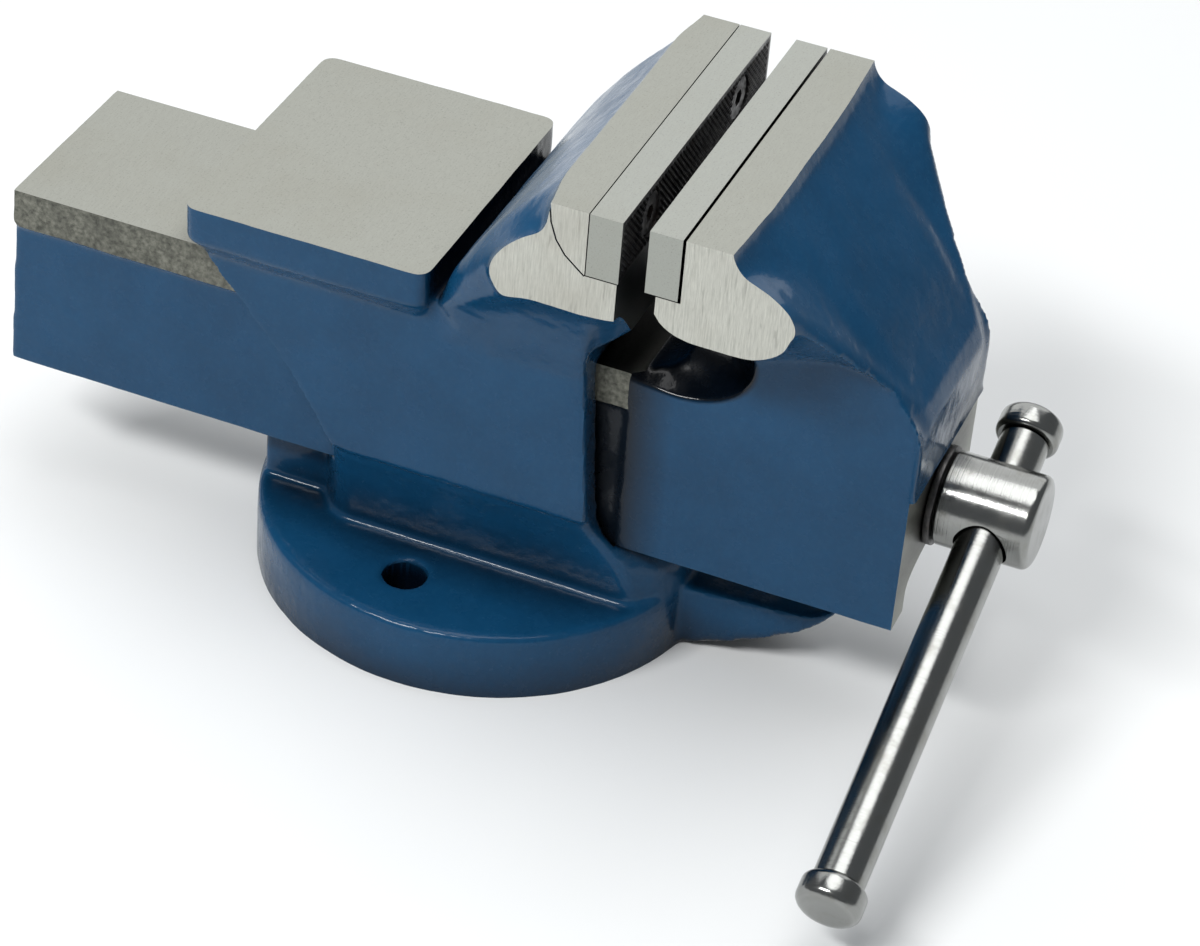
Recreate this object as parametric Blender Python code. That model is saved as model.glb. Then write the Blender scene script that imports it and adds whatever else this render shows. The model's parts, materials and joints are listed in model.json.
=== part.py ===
"""Bench vise with 100 mm jaws: round fixed base, box slide, steel screw and sliding bar handle.

Frame: +X points to the handle end, +Y to the left end of the jaws, +Z up.
Origin: centre of the round base, on its underside.  All lengths are in metres.
"""
import math

import bmesh
import bpy
from mathutils import Matrix, Vector

# ---- clearances -------------------------------------------------------------------------
GAP = 0.0003                  # between neighbouring solids that touch on the real vise
SLIDE_CLEARANCE = 0.0004      # slide in its channel, per side
MACHINING_STOCK = 0.0010      # cast surplus that the machining cuts remove

# ---- base -------------------------------------------------------------------------------
BASE_RADIUS = 0.0622
BASE_EDGE = 0.0014            # rounding of the upper rim
RIM_BEVEL_SHARE = 0.3         # part of that rounding taken up by its middle corner
BASE_THICKNESS = 0.0195
BOLT_HOLE_DIAMETER = 0.0115
BOLT_HOLE_SPACING = 0.0850    # centre to centre, across the vise
BOLT_HOLE_X = -0.0058
TONGUE_OVERHANG = 0.0391      # how far the front lug reaches past the round base
TONGUE_ROOT_HALF_WIDTH = 0.0145
TONGUE_TIP_HALF_WIDTH = 0.0102
RIB_HALF_WIDTH = 0.0200       # rear rib under the slide
PEDESTAL_REAR_X = -0.0338
PEDESTAL_FRONT_X = 0.0522
PEDESTAL_MARGIN = 0.0003      # pedestal wider than the slide, per side

# ---- slide (ram) ------------------------------------------------------------------------
RAM_HALF_WIDTH = 0.0282
RAM_BOTTOM_Z = 0.0376
RAM_TOP_Z = 0.0918
RAM_REAR_X = -0.1274          # at the top of the slide
RAM_REAR_DRAFT = 0.0030       # the rear end leans back by this much at the bottom
RAM_WALL = 0.0087
RAM_ROOF = 0.0103
RAM_RELIEF = 0.0008           # the cast sides stand back from the machined guide strips
RAM_STRIP_HEIGHT = 0.0103     # machined guide strip along the top of each side

# ---- housing and anvil ------------------------------------------------------------------
HOUSING_WALL = 0.0084
HOUSING_ROOF = 0.0078
HOUSING_FOOT_Z = 0.0480
HOUSING_FRONT_X = 0.0367      # at the roof
HOUSING_FRONT_FOOT_X = 0.0404
ANVIL_REAR_X = -0.0717
ANVIL_FRONT_X = -0.0048
ANVIL_TOP_Z = 0.1121
ANVIL_EDGE_HEIGHT = 0.0098
ANVIL_OVERHANG = 0.0047       # past the housing wall, per side
ANVIL_CORNER_RADIUS = 0.0035

# ---- jaws -------------------------------------------------------------------------------
JAW_WIDTH = 0.1000
JAW_TOP_Z = 0.1496
JAW_GAP = 0.0068              # opening of the jaws as modelled
GRIP_X = 0.0482               # gripping face of the fixed plate
FIXED_JAW_TOP = 0.0184        # from the gripping face to the rear edge of the top
MOVING_JAW_TOP = 0.0202
PLATE_THICKNESS = 0.0084
PLATE_HEIGHT = 0.0174
FIXED_PLATE_PROUD = 0.0003    # plate ahead of the casting below it
MOVING_PLATE_PROUD = 0.0029
MOVING_SEAT_GAP = 0.0008      # open joint line behind the moving plate
FRONT_REACH = 0.0660          # gripping face to the machined front face
FRONT_LIP = 0.0009            # the cast nose stands this far ahead of the machined face
FRONT_LIP_Z = 0.0778          # lower edge of the nose
FRONT_ARCH_FOOT_Z = 0.0440    # arched opening under the front wall, at its sides
FRONT_ARCH_TOP_Z = 0.0494
NOSE_HALF_WIDTH = 0.0205

# ---- plate screws -----------------------------------------------------------------------
PLATE_SCREW_SPACING = 0.0600
PLATE_SCREW_DIAMETER = 0.0060
PLATE_SCREW_HEAD_DIAMETER = 0.0116
PLATE_SCREW_LENGTH = 0.0150
PLATE_SCREW_HEAD_HEIGHT = 0.0032
PLATE_SCREW_RECESS = 0.0006
PLATE_SCREW_SOCKET = 0.0040   # across the flats

# ---- screw spindle, nut and thrust parts ------------------------------------------------
SPINDLE_Z = 0.0620
SPINDLE_DIAMETER = 0.0180
SPINDLE_REAR_X = -0.1150
SPINDLE_HEAD_DIAMETER = 0.0248
SPINDLE_HEAD_LENGTH = 0.0251
SPINDLE_HEAD_ROUND = 0.0022
FRONT_WALL = 0.0150           # wall of the moving jaw that the spindle pulls on
WASHER_THICKNESS = 0.0018
THRUST_WASHER_DIAMETER = 0.0262
SPRING_WASHER_DIAMETER = 0.0280
SPRING_LENGTH = 0.0140
SPRING_WIRE = 0.0020
SPRING_TURNS = 3.5
COLLAR_LENGTH = 0.0115
COLLAR_DIAMETER = 0.0280
COLLAR_PIN_DIAMETER = 0.0030
NUT_FRONT_X = 0.0190
NUT_LENGTH = 0.0380
NUT_HALF_WIDTH = 0.0172
NUT_BOLT_SPACING = 0.0260
NUT_BOLT_DIAMETER = 0.0080
NUT_BOLT_HEAD = 0.0130        # across the flats
NUT_BOLT_HEAD_HEIGHT = 0.0055
NUT_WASHER_DIAMETER = 0.0170
NUT_WASHER_THICKNESS = 0.0016
COUNTERBORE_DEPTH = 0.0125

# ---- handle -----------------------------------------------------------------------------
HANDLE_DIAMETER = 0.0130
HANDLE_HOLE_CLEARANCE = 0.0006
HANDLE_HOLE_X = 0.1364
HANDLE_TILT = math.radians(20.0)   # below the horizontal, on the -Y side
HANDLE_UPPER_REACH = 0.0306   # spindle axis to the upper end
HANDLE_LOWER_REACH = 0.1220
CAP_DIAMETER = 0.0168
CAP_LENGTH = 0.0078
CAP_BORE_DIAMETER = 0.0080
CAP_BORE_DEPTH = 0.0055

# ---- facets -----------------------------------------------------------------------------
ROUND_SIDES = 36
SMALL_SIDES = 24
DISC_SIDES = 96

# ---- places that follow from the sizes --------------------------------------------------
JAW_HALF_WIDTH = JAW_WIDTH / 2
PEDESTAL_HALF_WIDTH = RAM_HALF_WIDTH + PEDESTAL_MARGIN
BASE_TOP_RADIUS = BASE_RADIUS - BASE_EDGE
CHANNEL_HALF_WIDTH = RAM_HALF_WIDTH + SLIDE_CLEARANCE
CHANNEL_FLOOR_Z = RAM_BOTTOM_Z - SLIDE_CLEARANCE
CHANNEL_ROOF_Z = RAM_TOP_Z + SLIDE_CLEARANCE
HOUSING_HALF_WIDTH = CHANNEL_HALF_WIDTH + HOUSING_WALL
HOUSING_TOP_Z = CHANNEL_ROOF_Z + HOUSING_ROOF
MOVING_GRIP_X = GRIP_X + JAW_GAP
PLATE_BOTTOM_Z = JAW_TOP_Z - PLATE_HEIGHT
PLATE_SCREW_Z = JAW_TOP_Z - PLATE_HEIGHT / 2
FIXED_SEAT_X = GRIP_X - PLATE_THICKNESS - GAP
MOVING_SEAT_X = MOVING_GRIP_X + PLATE_THICKNESS + MOVING_SEAT_GAP
FRONT_FACE_X = MOVING_GRIP_X + FRONT_REACH
SPINDLE_RADIUS = SPINDLE_DIAMETER / 2
BORE_RADIUS = SPINDLE_RADIUS + GAP
FRONT_WALL_INNER_X = FRONT_FACE_X - FRONT_WALL
SPINDLE_HEAD_X = FRONT_FACE_X + GAP + WASHER_THICKNESS + GAP
SPRING_WASHER_X = FRONT_WALL_INNER_X - GAP - WASHER_THICKNESS
SPRING_FRONT_X = SPRING_WASHER_X - GAP
COLLAR_X = SPRING_FRONT_X - SPRING_LENGTH - GAP - COLLAR_LENGTH
NUT_BOLT_RADIUS = NUT_BOLT_DIAMETER / 2
NUT_BOLT_TOP_Z = SPINDLE_Z - SPINDLE_RADIUS - 0.0030
NUT_CENTRE_X = NUT_FRONT_X - NUT_LENGTH / 2
HANDLE_DIRECTION = Vector((0.0, -math.cos(HANDLE_TILT), -math.sin(HANDLE_TILT)))
HANDLE_ORIGIN = Vector((HANDLE_HOLE_X, 0.0, SPINDLE_Z))


# ---- small helpers ----------------------------------------------------------------------
def clear_scene():
    for existing in list(bpy.data.objects):
        bpy.data.objects.remove(existing, do_unlink=True)


def make_material(name, colour, roughness, metallic):
    material = bpy.data.materials.new(name)
    material.use_nodes = True
    shader = material.node_tree.nodes["Principled BSDF"]
    shader.inputs["Base Color"].default_value = (*colour, 1.0)
    shader.inputs["Roughness"].default_value = roughness
    shader.inputs["Metallic"].default_value = metallic
    return material


def make_empty(name, location, parent=None):
    empty = bpy.data.objects.new(name, None)
    bpy.context.collection.objects.link(empty)
    empty.matrix_world = Matrix.Translation(location)
    if parent:
        empty.parent = parent
        empty.matrix_parent_inverse = Matrix.Translation(parent.matrix_world.translation).inverted()
    bpy.context.view_layer.update()
    return empty


def make_object(name, shape, material):
    """Turn a bmesh into an object, faces out and round stretches shaded smooth."""
    bmesh.ops.triangulate(shape, faces=shape.faces[:], ngon_method="EAR_CLIP")
    bmesh.ops.recalc_face_normals(shape, faces=shape.faces[:])
    mesh = bpy.data.meshes.new(name)
    shape.to_mesh(mesh)
    shape.free()
    piece = bpy.data.objects.new(name, mesh)
    bpy.context.collection.objects.link(piece)
    if material:
        mesh.materials.append(material)
    shade(piece)
    return piece


def shade(piece):
    piece.data.shade_smooth()
    piece.data.set_sharp_from_angle(angle=math.radians(22))


def attach(piece, joint):
    """Hang a piece on its joint's empty without moving it."""
    piece.parent = joint
    piece.matrix_parent_inverse = joint.matrix_world.inverted()


def combine(piece, shape, operation, solver="EXACT"):
    """Join a shape to a piece, or cut it away, and keep the result as the piece's mesh.

    The lofted castings take the MANIFOLD solver, because EXACT loses their long thin facets.
    """
    tool = make_object("tool", shape, None)
    modifier = piece.modifiers.new(operation, "BOOLEAN")
    modifier.operation = operation
    modifier.solver = solver
    modifier.object = tool
    bpy.context.view_layer.update()
    evaluated = piece.evaluated_get(bpy.context.evaluated_depsgraph_get())
    result = bpy.data.meshes.new_from_object(evaluated)
    piece.modifiers.clear()
    result.name = piece.name
    piece.data = result
    bpy.data.objects.remove(tool, do_unlink=True)
    shade(piece)


def add_box(shape, low, high):
    size = Vector(high) - Vector(low)
    centre = (Vector(high) + Vector(low)) / 2
    matrix = Matrix.Translation(centre) @ Matrix.Diagonal((*size, 1.0))
    bmesh.ops.create_cube(shape, size=1.0, matrix=matrix)


def aim(origin, direction):
    """Matrix that carries the +X axis onto a direction through an origin."""
    turn = Vector((1.0, 0.0, 0.0)).rotation_difference(Vector(direction))
    return Matrix.Translation(origin) @ turn.to_matrix().to_4x4()


def loft(shape, rings, closed=False):
    """Skin a run of rings that have equal numbers of points; cap the ends or close the loop."""
    rows = [[shape.verts.new(point) for point in ring] for ring in rings]
    pairs = list(zip(rows, rows[1:]))
    if closed:
        pairs.append((rows[-1], rows[0]))
    for row, following in pairs:
        count = len(row)
        for index in range(count):
            after = (index + 1) % count
            shape.faces.new((row[index], row[after], following[after], following[index]))
    if not closed:
        shape.faces.new(rows[0])
        shape.faces.new(rows[-1])


def ring_points(position, radius, sides, hexagonal=False):
    """Ring around +X; a hexagonal ring's radius is half its width across the flats."""
    points = []
    for step in range(sides):
        angle = 2 * math.pi * step / sides
        reach = radius
        if hexagonal:
            reach = radius / math.cos((angle + math.pi / 6) % (math.pi / 3) - math.pi / 6)
        points.append(Vector((position, reach * math.cos(angle), reach * math.sin(angle))))
    return points


def add_turned(shape, profile, matrix, sides=ROUND_SIDES, closed=False):
    """Turn a profile of (position, radius) or (position, radius, "hex") around an axis."""
    rings = []
    for position, radius, *kind in profile:
        ring = ring_points(position, radius, sides, hexagonal=bool(kind))
        rings.append([matrix @ point for point in ring])
    loft(shape, rings, closed)


def rounded_profile_end(position, radius, fillet, steps=5):
    """Profile points of a rounded front edge, from the side to the end face."""
    points = []
    for step in range(steps + 1):
        angle = math.pi / 2 * step / steps
        points.append((position - fillet + fillet * math.sin(angle),
                       radius - fillet + fillet * math.cos(angle)))
    return points


def lerp(start, end, share):
    return start + (end - start) * share


def smoothstep(share):
    return share * share * (3 - 2 * share)


def curve_through(points, steps=6):
    """Catmull-Rom curve through hand-placed (x, z) points."""
    knots = [points[0], *points, points[-1]]
    curve = []
    for before, start, end, after in zip(knots, knots[1:], knots[2:], knots[3:]):
        for step in range(steps):
            t = step / steps
            curve.append(tuple(
                0.5 * (2 * s + (e - b) * t + (2 * b - 5 * s + 4 * e - a) * t * t
                       + (3 * s - 3 * e + a - b) * t ** 3)
                for b, s, e, a in zip(before, start, end, after)))
    curve.append(points[-1])
    return curve


def spread(points, count):
    """Points at equal distances along a polyline, both ends included."""
    lengths = [0.0]
    for start, end in zip(points, points[1:]):
        lengths.append(lengths[-1] + math.dist(start, end))
    result = []
    segment = 0
    for step in range(count):
        target = lengths[-1] * step / (count - 1)
        while segment < len(points) - 2 and lengths[segment + 1] < target:
            segment += 1
        span = lengths[segment + 1] - lengths[segment]
        share = min(1.0, (target - lengths[segment]) / span)
        start, end = points[segment], points[segment + 1]
        result.append(tuple(lerp(s, e, share) for s, e in zip(start, end)))
    return result


def blend(first, second, share):
    return [tuple(lerp(a, b, share) for a, b in zip(p, q)) for p, q in zip(first, second)]


def at_y(outline, y):
    return [Vector((x, y, z)) for x, z in outline]


# ---- body casting -----------------------------------------------------------------------
def base_disc():
    shape = bmesh.new()
    upward = aim((0.0, 0.0, 0.0), (0.0, 0.0, 1.0))
    profile = [(0.0, BASE_RADIUS), (BASE_THICKNESS - BASE_EDGE, BASE_RADIUS),
               (BASE_THICKNESS - BASE_EDGE * RIM_BEVEL_SHARE, BASE_RADIUS - BASE_EDGE * RIM_BEVEL_SHARE),
               (BASE_THICKNESS, BASE_TOP_RADIUS)]
    add_turned(shape, profile, upward, DISC_SIDES)
    return shape


def front_tongue():
    """Lug under the slide: flat on top, its underside rising to the tip like a prow."""
    shape = bmesh.new()
    root_x = BASE_RADIUS - 0.0055
    tip_x = BASE_RADIUS + TONGUE_OVERHANG
    top = BASE_THICKNESS - 0.0002
    rings = []
    shares = [-0.6, 0.0, 0.2, 0.4, 0.6, 0.75, 0.85, 0.92, 0.96, 0.985, 1.0]
    for share in shares:
        along = max(share, 0.0)
        half = lerp(TONGUE_ROOT_HALF_WIDTH, TONGUE_TIP_HALF_WIDTH, along)
        if along > 0.8:
            half *= math.sqrt(max(0.08, 1 - ((along - 0.8) / 0.2) ** 2))
        low = 0.0004 + (top - 0.0010) * along ** 1.6
        x = lerp(root_x, tip_x, share)
        rings.append([Vector((x, -half, low)), Vector((x, half, low)),
                      Vector((x, half, top)), Vector((x, -half, top))])
    loft(shape, rings)
    return shape


def pedestal():
    """Waisted column from the base up to the housing, with a flared front wall."""
    shape = bmesh.new()
    overlap = 0.0030
    foot_z = BASE_THICKNESS + 0.0002
    rings = []
    for step in range(-1, 11):
        share = max(step, 0) / 10
        z = lerp(foot_z, HOUSING_FOOT_Z, share)
        if step < 0:
            z -= 0.0095
        if step == 10:
            z += overlap
        half = lerp(PEDESTAL_HALF_WIDTH, HOUSING_HALF_WIDTH - 0.0002, share ** 1.9)
        flare = smoothstep(share ** 1.3)
        corner = lerp(PEDESTAL_FRONT_X, HOUSING_FRONT_FOOT_X - 0.0002, flare)
        front = lerp(BASE_TOP_RADIUS, HOUSING_FRONT_FOOT_X, flare)
        rear = lerp(PEDESTAL_REAR_X, PEDESTAL_REAR_X + 0.0028, share)
        side = [(rear - 0.0060, half - 0.0090), (rear, half - 0.0015), (rear + 0.0040, half),
                (corner - 0.0030, half), (corner - 0.0003, half - 0.0010),
                (lerp(corner, front, 0.6), half - 0.0075), (front, 0.0140)]
        near = [Vector((x, -y, z)) for x, y in side]
        far = [Vector((x, y, z)) for x, y in reversed(side)]
        rings.append(near + far)
    loft(shape, rings)
    return shape


def rear_rib():
    """Rib under the rear of the slide; its end follows the rim of the base."""
    shape = bmesh.new()
    outline = [(PEDESTAL_REAR_X + 0.0050, RIB_HALF_WIDTH)]
    for step in range(13):
        y = lerp(RIB_HALF_WIDTH, -RIB_HALF_WIDTH, step / 12)
        rim = math.sqrt((BASE_TOP_RADIUS - 0.0001) ** 2 - y * y)
        outline.append((-rim, y))
    outline.append((PEDESTAL_REAR_X + 0.0050, -RIB_HALF_WIDTH))
    levels = (BASE_THICKNESS / 2, CHANNEL_FLOOR_Z + 0.0020)
    loft(shape, [[Vector((x, y, z)) for x, y in outline] for z in levels])
    return shape


def housing():
    """Box around the slide; seen from the side its rear edge leans back up to the anvil."""
    shape = bmesh.new()
    foot_x = PEDESTAL_REAR_X + 0.0028
    top_z = HOUSING_TOP_Z
    outline = []
    for step in range(9):
        share = step / 8
        x = lerp(foot_x, ANVIL_REAR_X + 0.0010, share ** 1.3)
        outline.append((x, lerp(HOUSING_FOOT_Z, top_z, share)))
    middle_z = (HOUSING_FOOT_Z + top_z) / 2
    outline += [(HOUSING_FRONT_X, top_z), (lerp(HOUSING_FRONT_X, HOUSING_FRONT_FOOT_X, 0.45), middle_z),
                (HOUSING_FRONT_FOOT_X, HOUSING_FOOT_Z)]
    loft(shape, [at_y(outline, -HOUSING_HALF_WIDTH), at_y(outline, HOUSING_HALF_WIDTH)])
    return shape


def rounded_rectangle(low, high, z, radius, steps=5):
    points = []
    corners = [(high[0] - radius, high[1] - radius, 0), (low[0] + radius, high[1] - radius, 1),
               (low[0] + radius, low[1] + radius, 2), (high[0] - radius, low[1] + radius, 3)]
    for x, y, quarter in corners:
        for step in range(steps + 1):
            angle = math.pi / 2 * (quarter + step / steps)
            points.append(Vector((x + radius * math.cos(angle), y + radius * math.sin(angle), z)))
    return points


def anvil():
    """Pad that overhangs the housing and tapers into it under its upright edge."""
    shape = bmesh.new()
    edge_z = ANVIL_TOP_Z - ANVIL_EDGE_HEIGHT
    wide = HOUSING_HALF_WIDTH + ANVIL_OVERHANG
    root = HOUSING_HALF_WIDTH - 0.0006
    levels = [(edge_z - 0.0065, root, 0.0060), (edge_z, wide, 0.0),
              (ANVIL_TOP_Z + MACHINING_STOCK, wide, 0.0)]
    rings = []
    for z, half, inset in levels:
        low = (ANVIL_REAR_X + inset, -half)
        high = (ANVIL_FRONT_X - inset / 8, half)
        rings.append(rounded_rectangle(low, high, z, ANVIL_CORNER_RADIUS))
    loft(shape, rings)
    return shape


FIXED_FRONT_POINTS = 5        # points of the front edge, ahead of the sweep in each outline


def fixed_jaw_outlines():
    """Side outlines of the fixed jaw: through its middle, and at its machined ends."""
    face = GRIP_X - FIXED_PLATE_PROUD
    top = JAW_TOP_Z + MACHINING_STOCK
    rear = GRIP_X - FIXED_JAW_TOP
    foot = (ANVIL_FRONT_X + 0.0012, HOUSING_TOP_Z + 0.0015)
    slope = [(0.0, MACHINING_STOCK), (-0.0013, -0.0003), (-0.0094, -0.0084), (-0.0173, -0.0176),
             (-0.0250, -0.0290), (-0.0302, -0.0383)]
    sweep = [(rear + x, JAW_TOP_Z + z) for x, z in slope] + [foot]
    sweep_points = 20
    inside = HOUSING_TOP_Z - 0.0100
    middle = [(HOUSING_FRONT_X - 0.0002, inside), (HOUSING_FRONT_X + 0.0010, HOUSING_TOP_Z + 0.0005),
              (face - 0.0040, HOUSING_TOP_Z + 0.0060), (face, HOUSING_TOP_Z + 0.0140), (face, top)]
    middle += spread(curve_through(sweep), sweep_points) + [(foot[0], inside)]
    lobe = [(0.0, MACHINING_STOCK), (-0.0004, -0.0078), (-0.0048, -0.0109), (-0.0098, -0.0150),
            (-0.0130, -0.0205), (-0.0120, -0.0246), (-0.0082, -0.0281)]
    lobe = [(rear + x, JAW_TOP_Z + z) for x, z in lobe]
    bottom = JAW_TOP_Z - 0.0283
    end = [(face - 0.0080, bottom - 0.0002), (face - 0.0040, bottom - 0.0001),
           (face - 0.0010, bottom + 0.0001), (face, bottom + 0.0010), (face, top)]
    end += spread(curve_through(lobe), sweep_points) + [(face - 0.0180, bottom - 0.0001)]
    return middle, end


def fixed_jaw_block():
    shape = bmesh.new()
    middle, end = fixed_jaw_outlines()
    start_y = HOUSING_HALF_WIDTH - 0.0004
    rings = []
    for step in range(8):
        share = 1 - step / 7
        y = lerp(start_y, JAW_HALF_WIDTH, share)
        rise = math.sin(math.pi / 2 * share)
        front = blend(middle[:FIXED_FRONT_POINTS], end[:FIXED_FRONT_POINTS], rise)
        sweep = blend(middle[FIXED_FRONT_POINTS:-1], end[FIXED_FRONT_POINTS:-1], share ** 1.3)
        rings.append((y, front + sweep + blend(middle[-1:], end[-1:], rise)))
    rings.insert(0, (JAW_HALF_WIDTH + MACHINING_STOCK, end))
    far = [at_y(outline, y) for y, outline in rings]
    near = [at_y(outline, -y) for y, outline in reversed(rings)]
    loft(shape, far + near)
    return shape


def body_faces():
    """Cutter for the slide channel and the top of the anvil."""
    clear = 0.0500
    shape = bmesh.new()
    add_box(shape, (RAM_REAR_X, -CHANNEL_HALF_WIDTH, CHANNEL_FLOOR_Z),
            (FRONT_FACE_X, CHANNEL_HALF_WIDTH, CHANNEL_ROOF_Z))
    add_box(shape, (ANVIL_REAR_X - clear, -clear * 2, ANVIL_TOP_Z),
            (ANVIL_FRONT_X + 0.0005, clear * 2, ANVIL_TOP_Z + clear))
    return shape


def body_holes():
    """Cutter for the bench bolt holes and the counterbored holes of the nut bolts."""
    shape = bmesh.new()
    upward = (0.0, 0.0, 1.0)
    for side in (-1, 1):
        centre = (BOLT_HOLE_X, side * BOLT_HOLE_SPACING / 2, 0.0)
        hole = [(-0.0020, BOLT_HOLE_DIAMETER / 2), (BASE_THICKNESS + 0.0020, BOLT_HOLE_DIAMETER / 2)]
        add_turned(shape, hole, aim(centre, upward), SMALL_SIDES)
        centre = (NUT_CENTRE_X + side * NUT_BOLT_SPACING / 2, 0.0, 0.0)
        seat = NUT_WASHER_DIAMETER / 2 + 0.0010
        hole = [(-0.0020, seat), (COUNTERBORE_DEPTH, seat),
                (COUNTERBORE_DEPTH, NUT_BOLT_RADIUS + GAP), (CHANNEL_FLOOR_Z + 0.0020, NUT_BOLT_RADIUS + GAP)]
        add_turned(shape, hole, aim(centre, upward), SMALL_SIDES)
    return shape


def jaw_cuts(seat_x, outward):
    """Machined top, ends, plate seat and screw holes; outward is the gripping direction."""
    clear = 0.0300
    wide = JAW_HALF_WIDTH + clear
    top = bmesh.new()
    low_x = min(seat_x - outward * clear * 3, seat_x + outward * clear)
    high_x = max(seat_x - outward * clear * 3, seat_x + outward * clear)
    add_box(top, (low_x, -wide, JAW_TOP_Z), (high_x, wide, JAW_TOP_Z + clear))
    seat = bmesh.new()
    beyond = seat_x + outward * clear
    add_box(seat, (min(seat_x, beyond), -wide, PLATE_BOTTOM_Z - GAP),
            (max(seat_x, beyond), wide, JAW_TOP_Z + clear))
    ends = bmesh.new()
    holes = bmesh.new()
    depth = PLATE_SCREW_LENGTH - PLATE_THICKNESS + 0.0010
    radius = PLATE_SCREW_DIAMETER / 2 + GAP
    for side in (-1, 1):
        end_y = side * JAW_HALF_WIDTH
        near_y, far_y = sorted((end_y, 2 * end_y))
        add_box(ends, (low_x, near_y, HOUSING_TOP_Z), (high_x, far_y, JAW_TOP_Z + clear))
        matrix = aim((seat_x, side * PLATE_SCREW_SPACING / 2, PLATE_SCREW_Z), (-outward, 0.0, 0.0))
        add_turned(holes, [(-0.0020, radius), (depth, radius)], matrix, SMALL_SIDES)
    return [top, ends, seat, holes]


def build_body_casting(enamel):
    casting = make_object("body_casting", base_disc(), enamel)
    for part in (front_tongue(), pedestal(), rear_rib(), housing(), anvil(), fixed_jaw_block()):
        combine(casting, part, "UNION", "MANIFOLD")
    for cutter in (body_faces(), body_holes(), *jaw_cuts(FIXED_SEAT_X, 1)):
        combine(casting, cutter, "DIFFERENCE", "MANIFOLD")
    return casting


# ---- moving jaw casting -----------------------------------------------------------------
FRONT_POINTS = 14
NOSE_POINTS = 7
ARCH_POINTS = 22


def from_grip(points):
    """Points given from the moving gripping face and the jaw top, as world (x, z)."""
    return [(MOVING_GRIP_X + x, JAW_TOP_Z + z) for x, z in points]


def moving_jaw_paths():
    """Outline paths of the moving jaw, from the side: middle, slide side and machined end."""
    top = (MOVING_JAW_TOP, MACHINING_STOCK)
    bend_z = -0.0716
    nose = FRONT_REACH + FRONT_LIP
    middle_front = [top, (0.0242, -0.0036), (0.0370, -0.0160), (0.0510, -0.0306),
                    (nose - 0.0065, -0.0430), (nose - 0.0012, -0.0496), (nose, -0.0530)]
    middle_nose = [(nose, -0.0530), (nose, -0.0590), (nose, bend_z)]
    side_front = [top, (0.0242, -0.0036), (0.0370, -0.0168), (0.0500, -0.0312),
                  (0.0575, -0.0388), (0.0596, -0.0425)]
    side_nose = [(0.0596, -0.0425), (0.0640, -0.0482), (nose, -0.0546), (nose, bend_z)]
    arch = [(0.0596, -0.0425), (0.0560, -0.0398), (0.0512, -0.0380), (0.0440, -0.0373),
            (0.0369, -0.0386), (0.0290, -0.0411), (0.0222, -0.0447), (0.0196, -0.0488),
            (0.0138, -0.0568), (MOVING_PLATE_PROUD, -0.0615)]
    end_front = [top, (0.0221, -0.0032), (0.0243, -0.0053), (0.0302, -0.0073), (0.0348, -0.0104),
                 (0.0366, -0.0132), (0.0371, -0.0163)]
    end_under = [(0.0371, -0.0163), (0.0366, -0.0203), (0.0345, -0.0239), (0.0283, -0.0274),
                 (0.0189, -0.0278), (0.0096, -0.0273), (0.0040, -0.0240), (MOVING_PLATE_PROUD, -0.0200)]

    def path(points, count):
        return spread(curve_through(from_grip(points)), count)

    return {
        "middle_front": path(middle_front, FRONT_POINTS), "middle_nose": path(middle_nose, NOSE_POINTS),
        "side_front": path(side_front, FRONT_POINTS), "side_nose": path(side_nose, NOSE_POINTS),
        "arch": path(arch, ARCH_POINTS), "end_front": path(end_front, FRONT_POINTS),
        "end_under": path(end_under, ARCH_POINTS),
    }


def skin(shape, rows):
    for row, following in zip(rows, rows[1:]):
        count = len(row)
        for index in range(count):
            after = (index + 1) % count
            shape.faces.new((row[index], row[after], following[after], following[index]))


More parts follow.
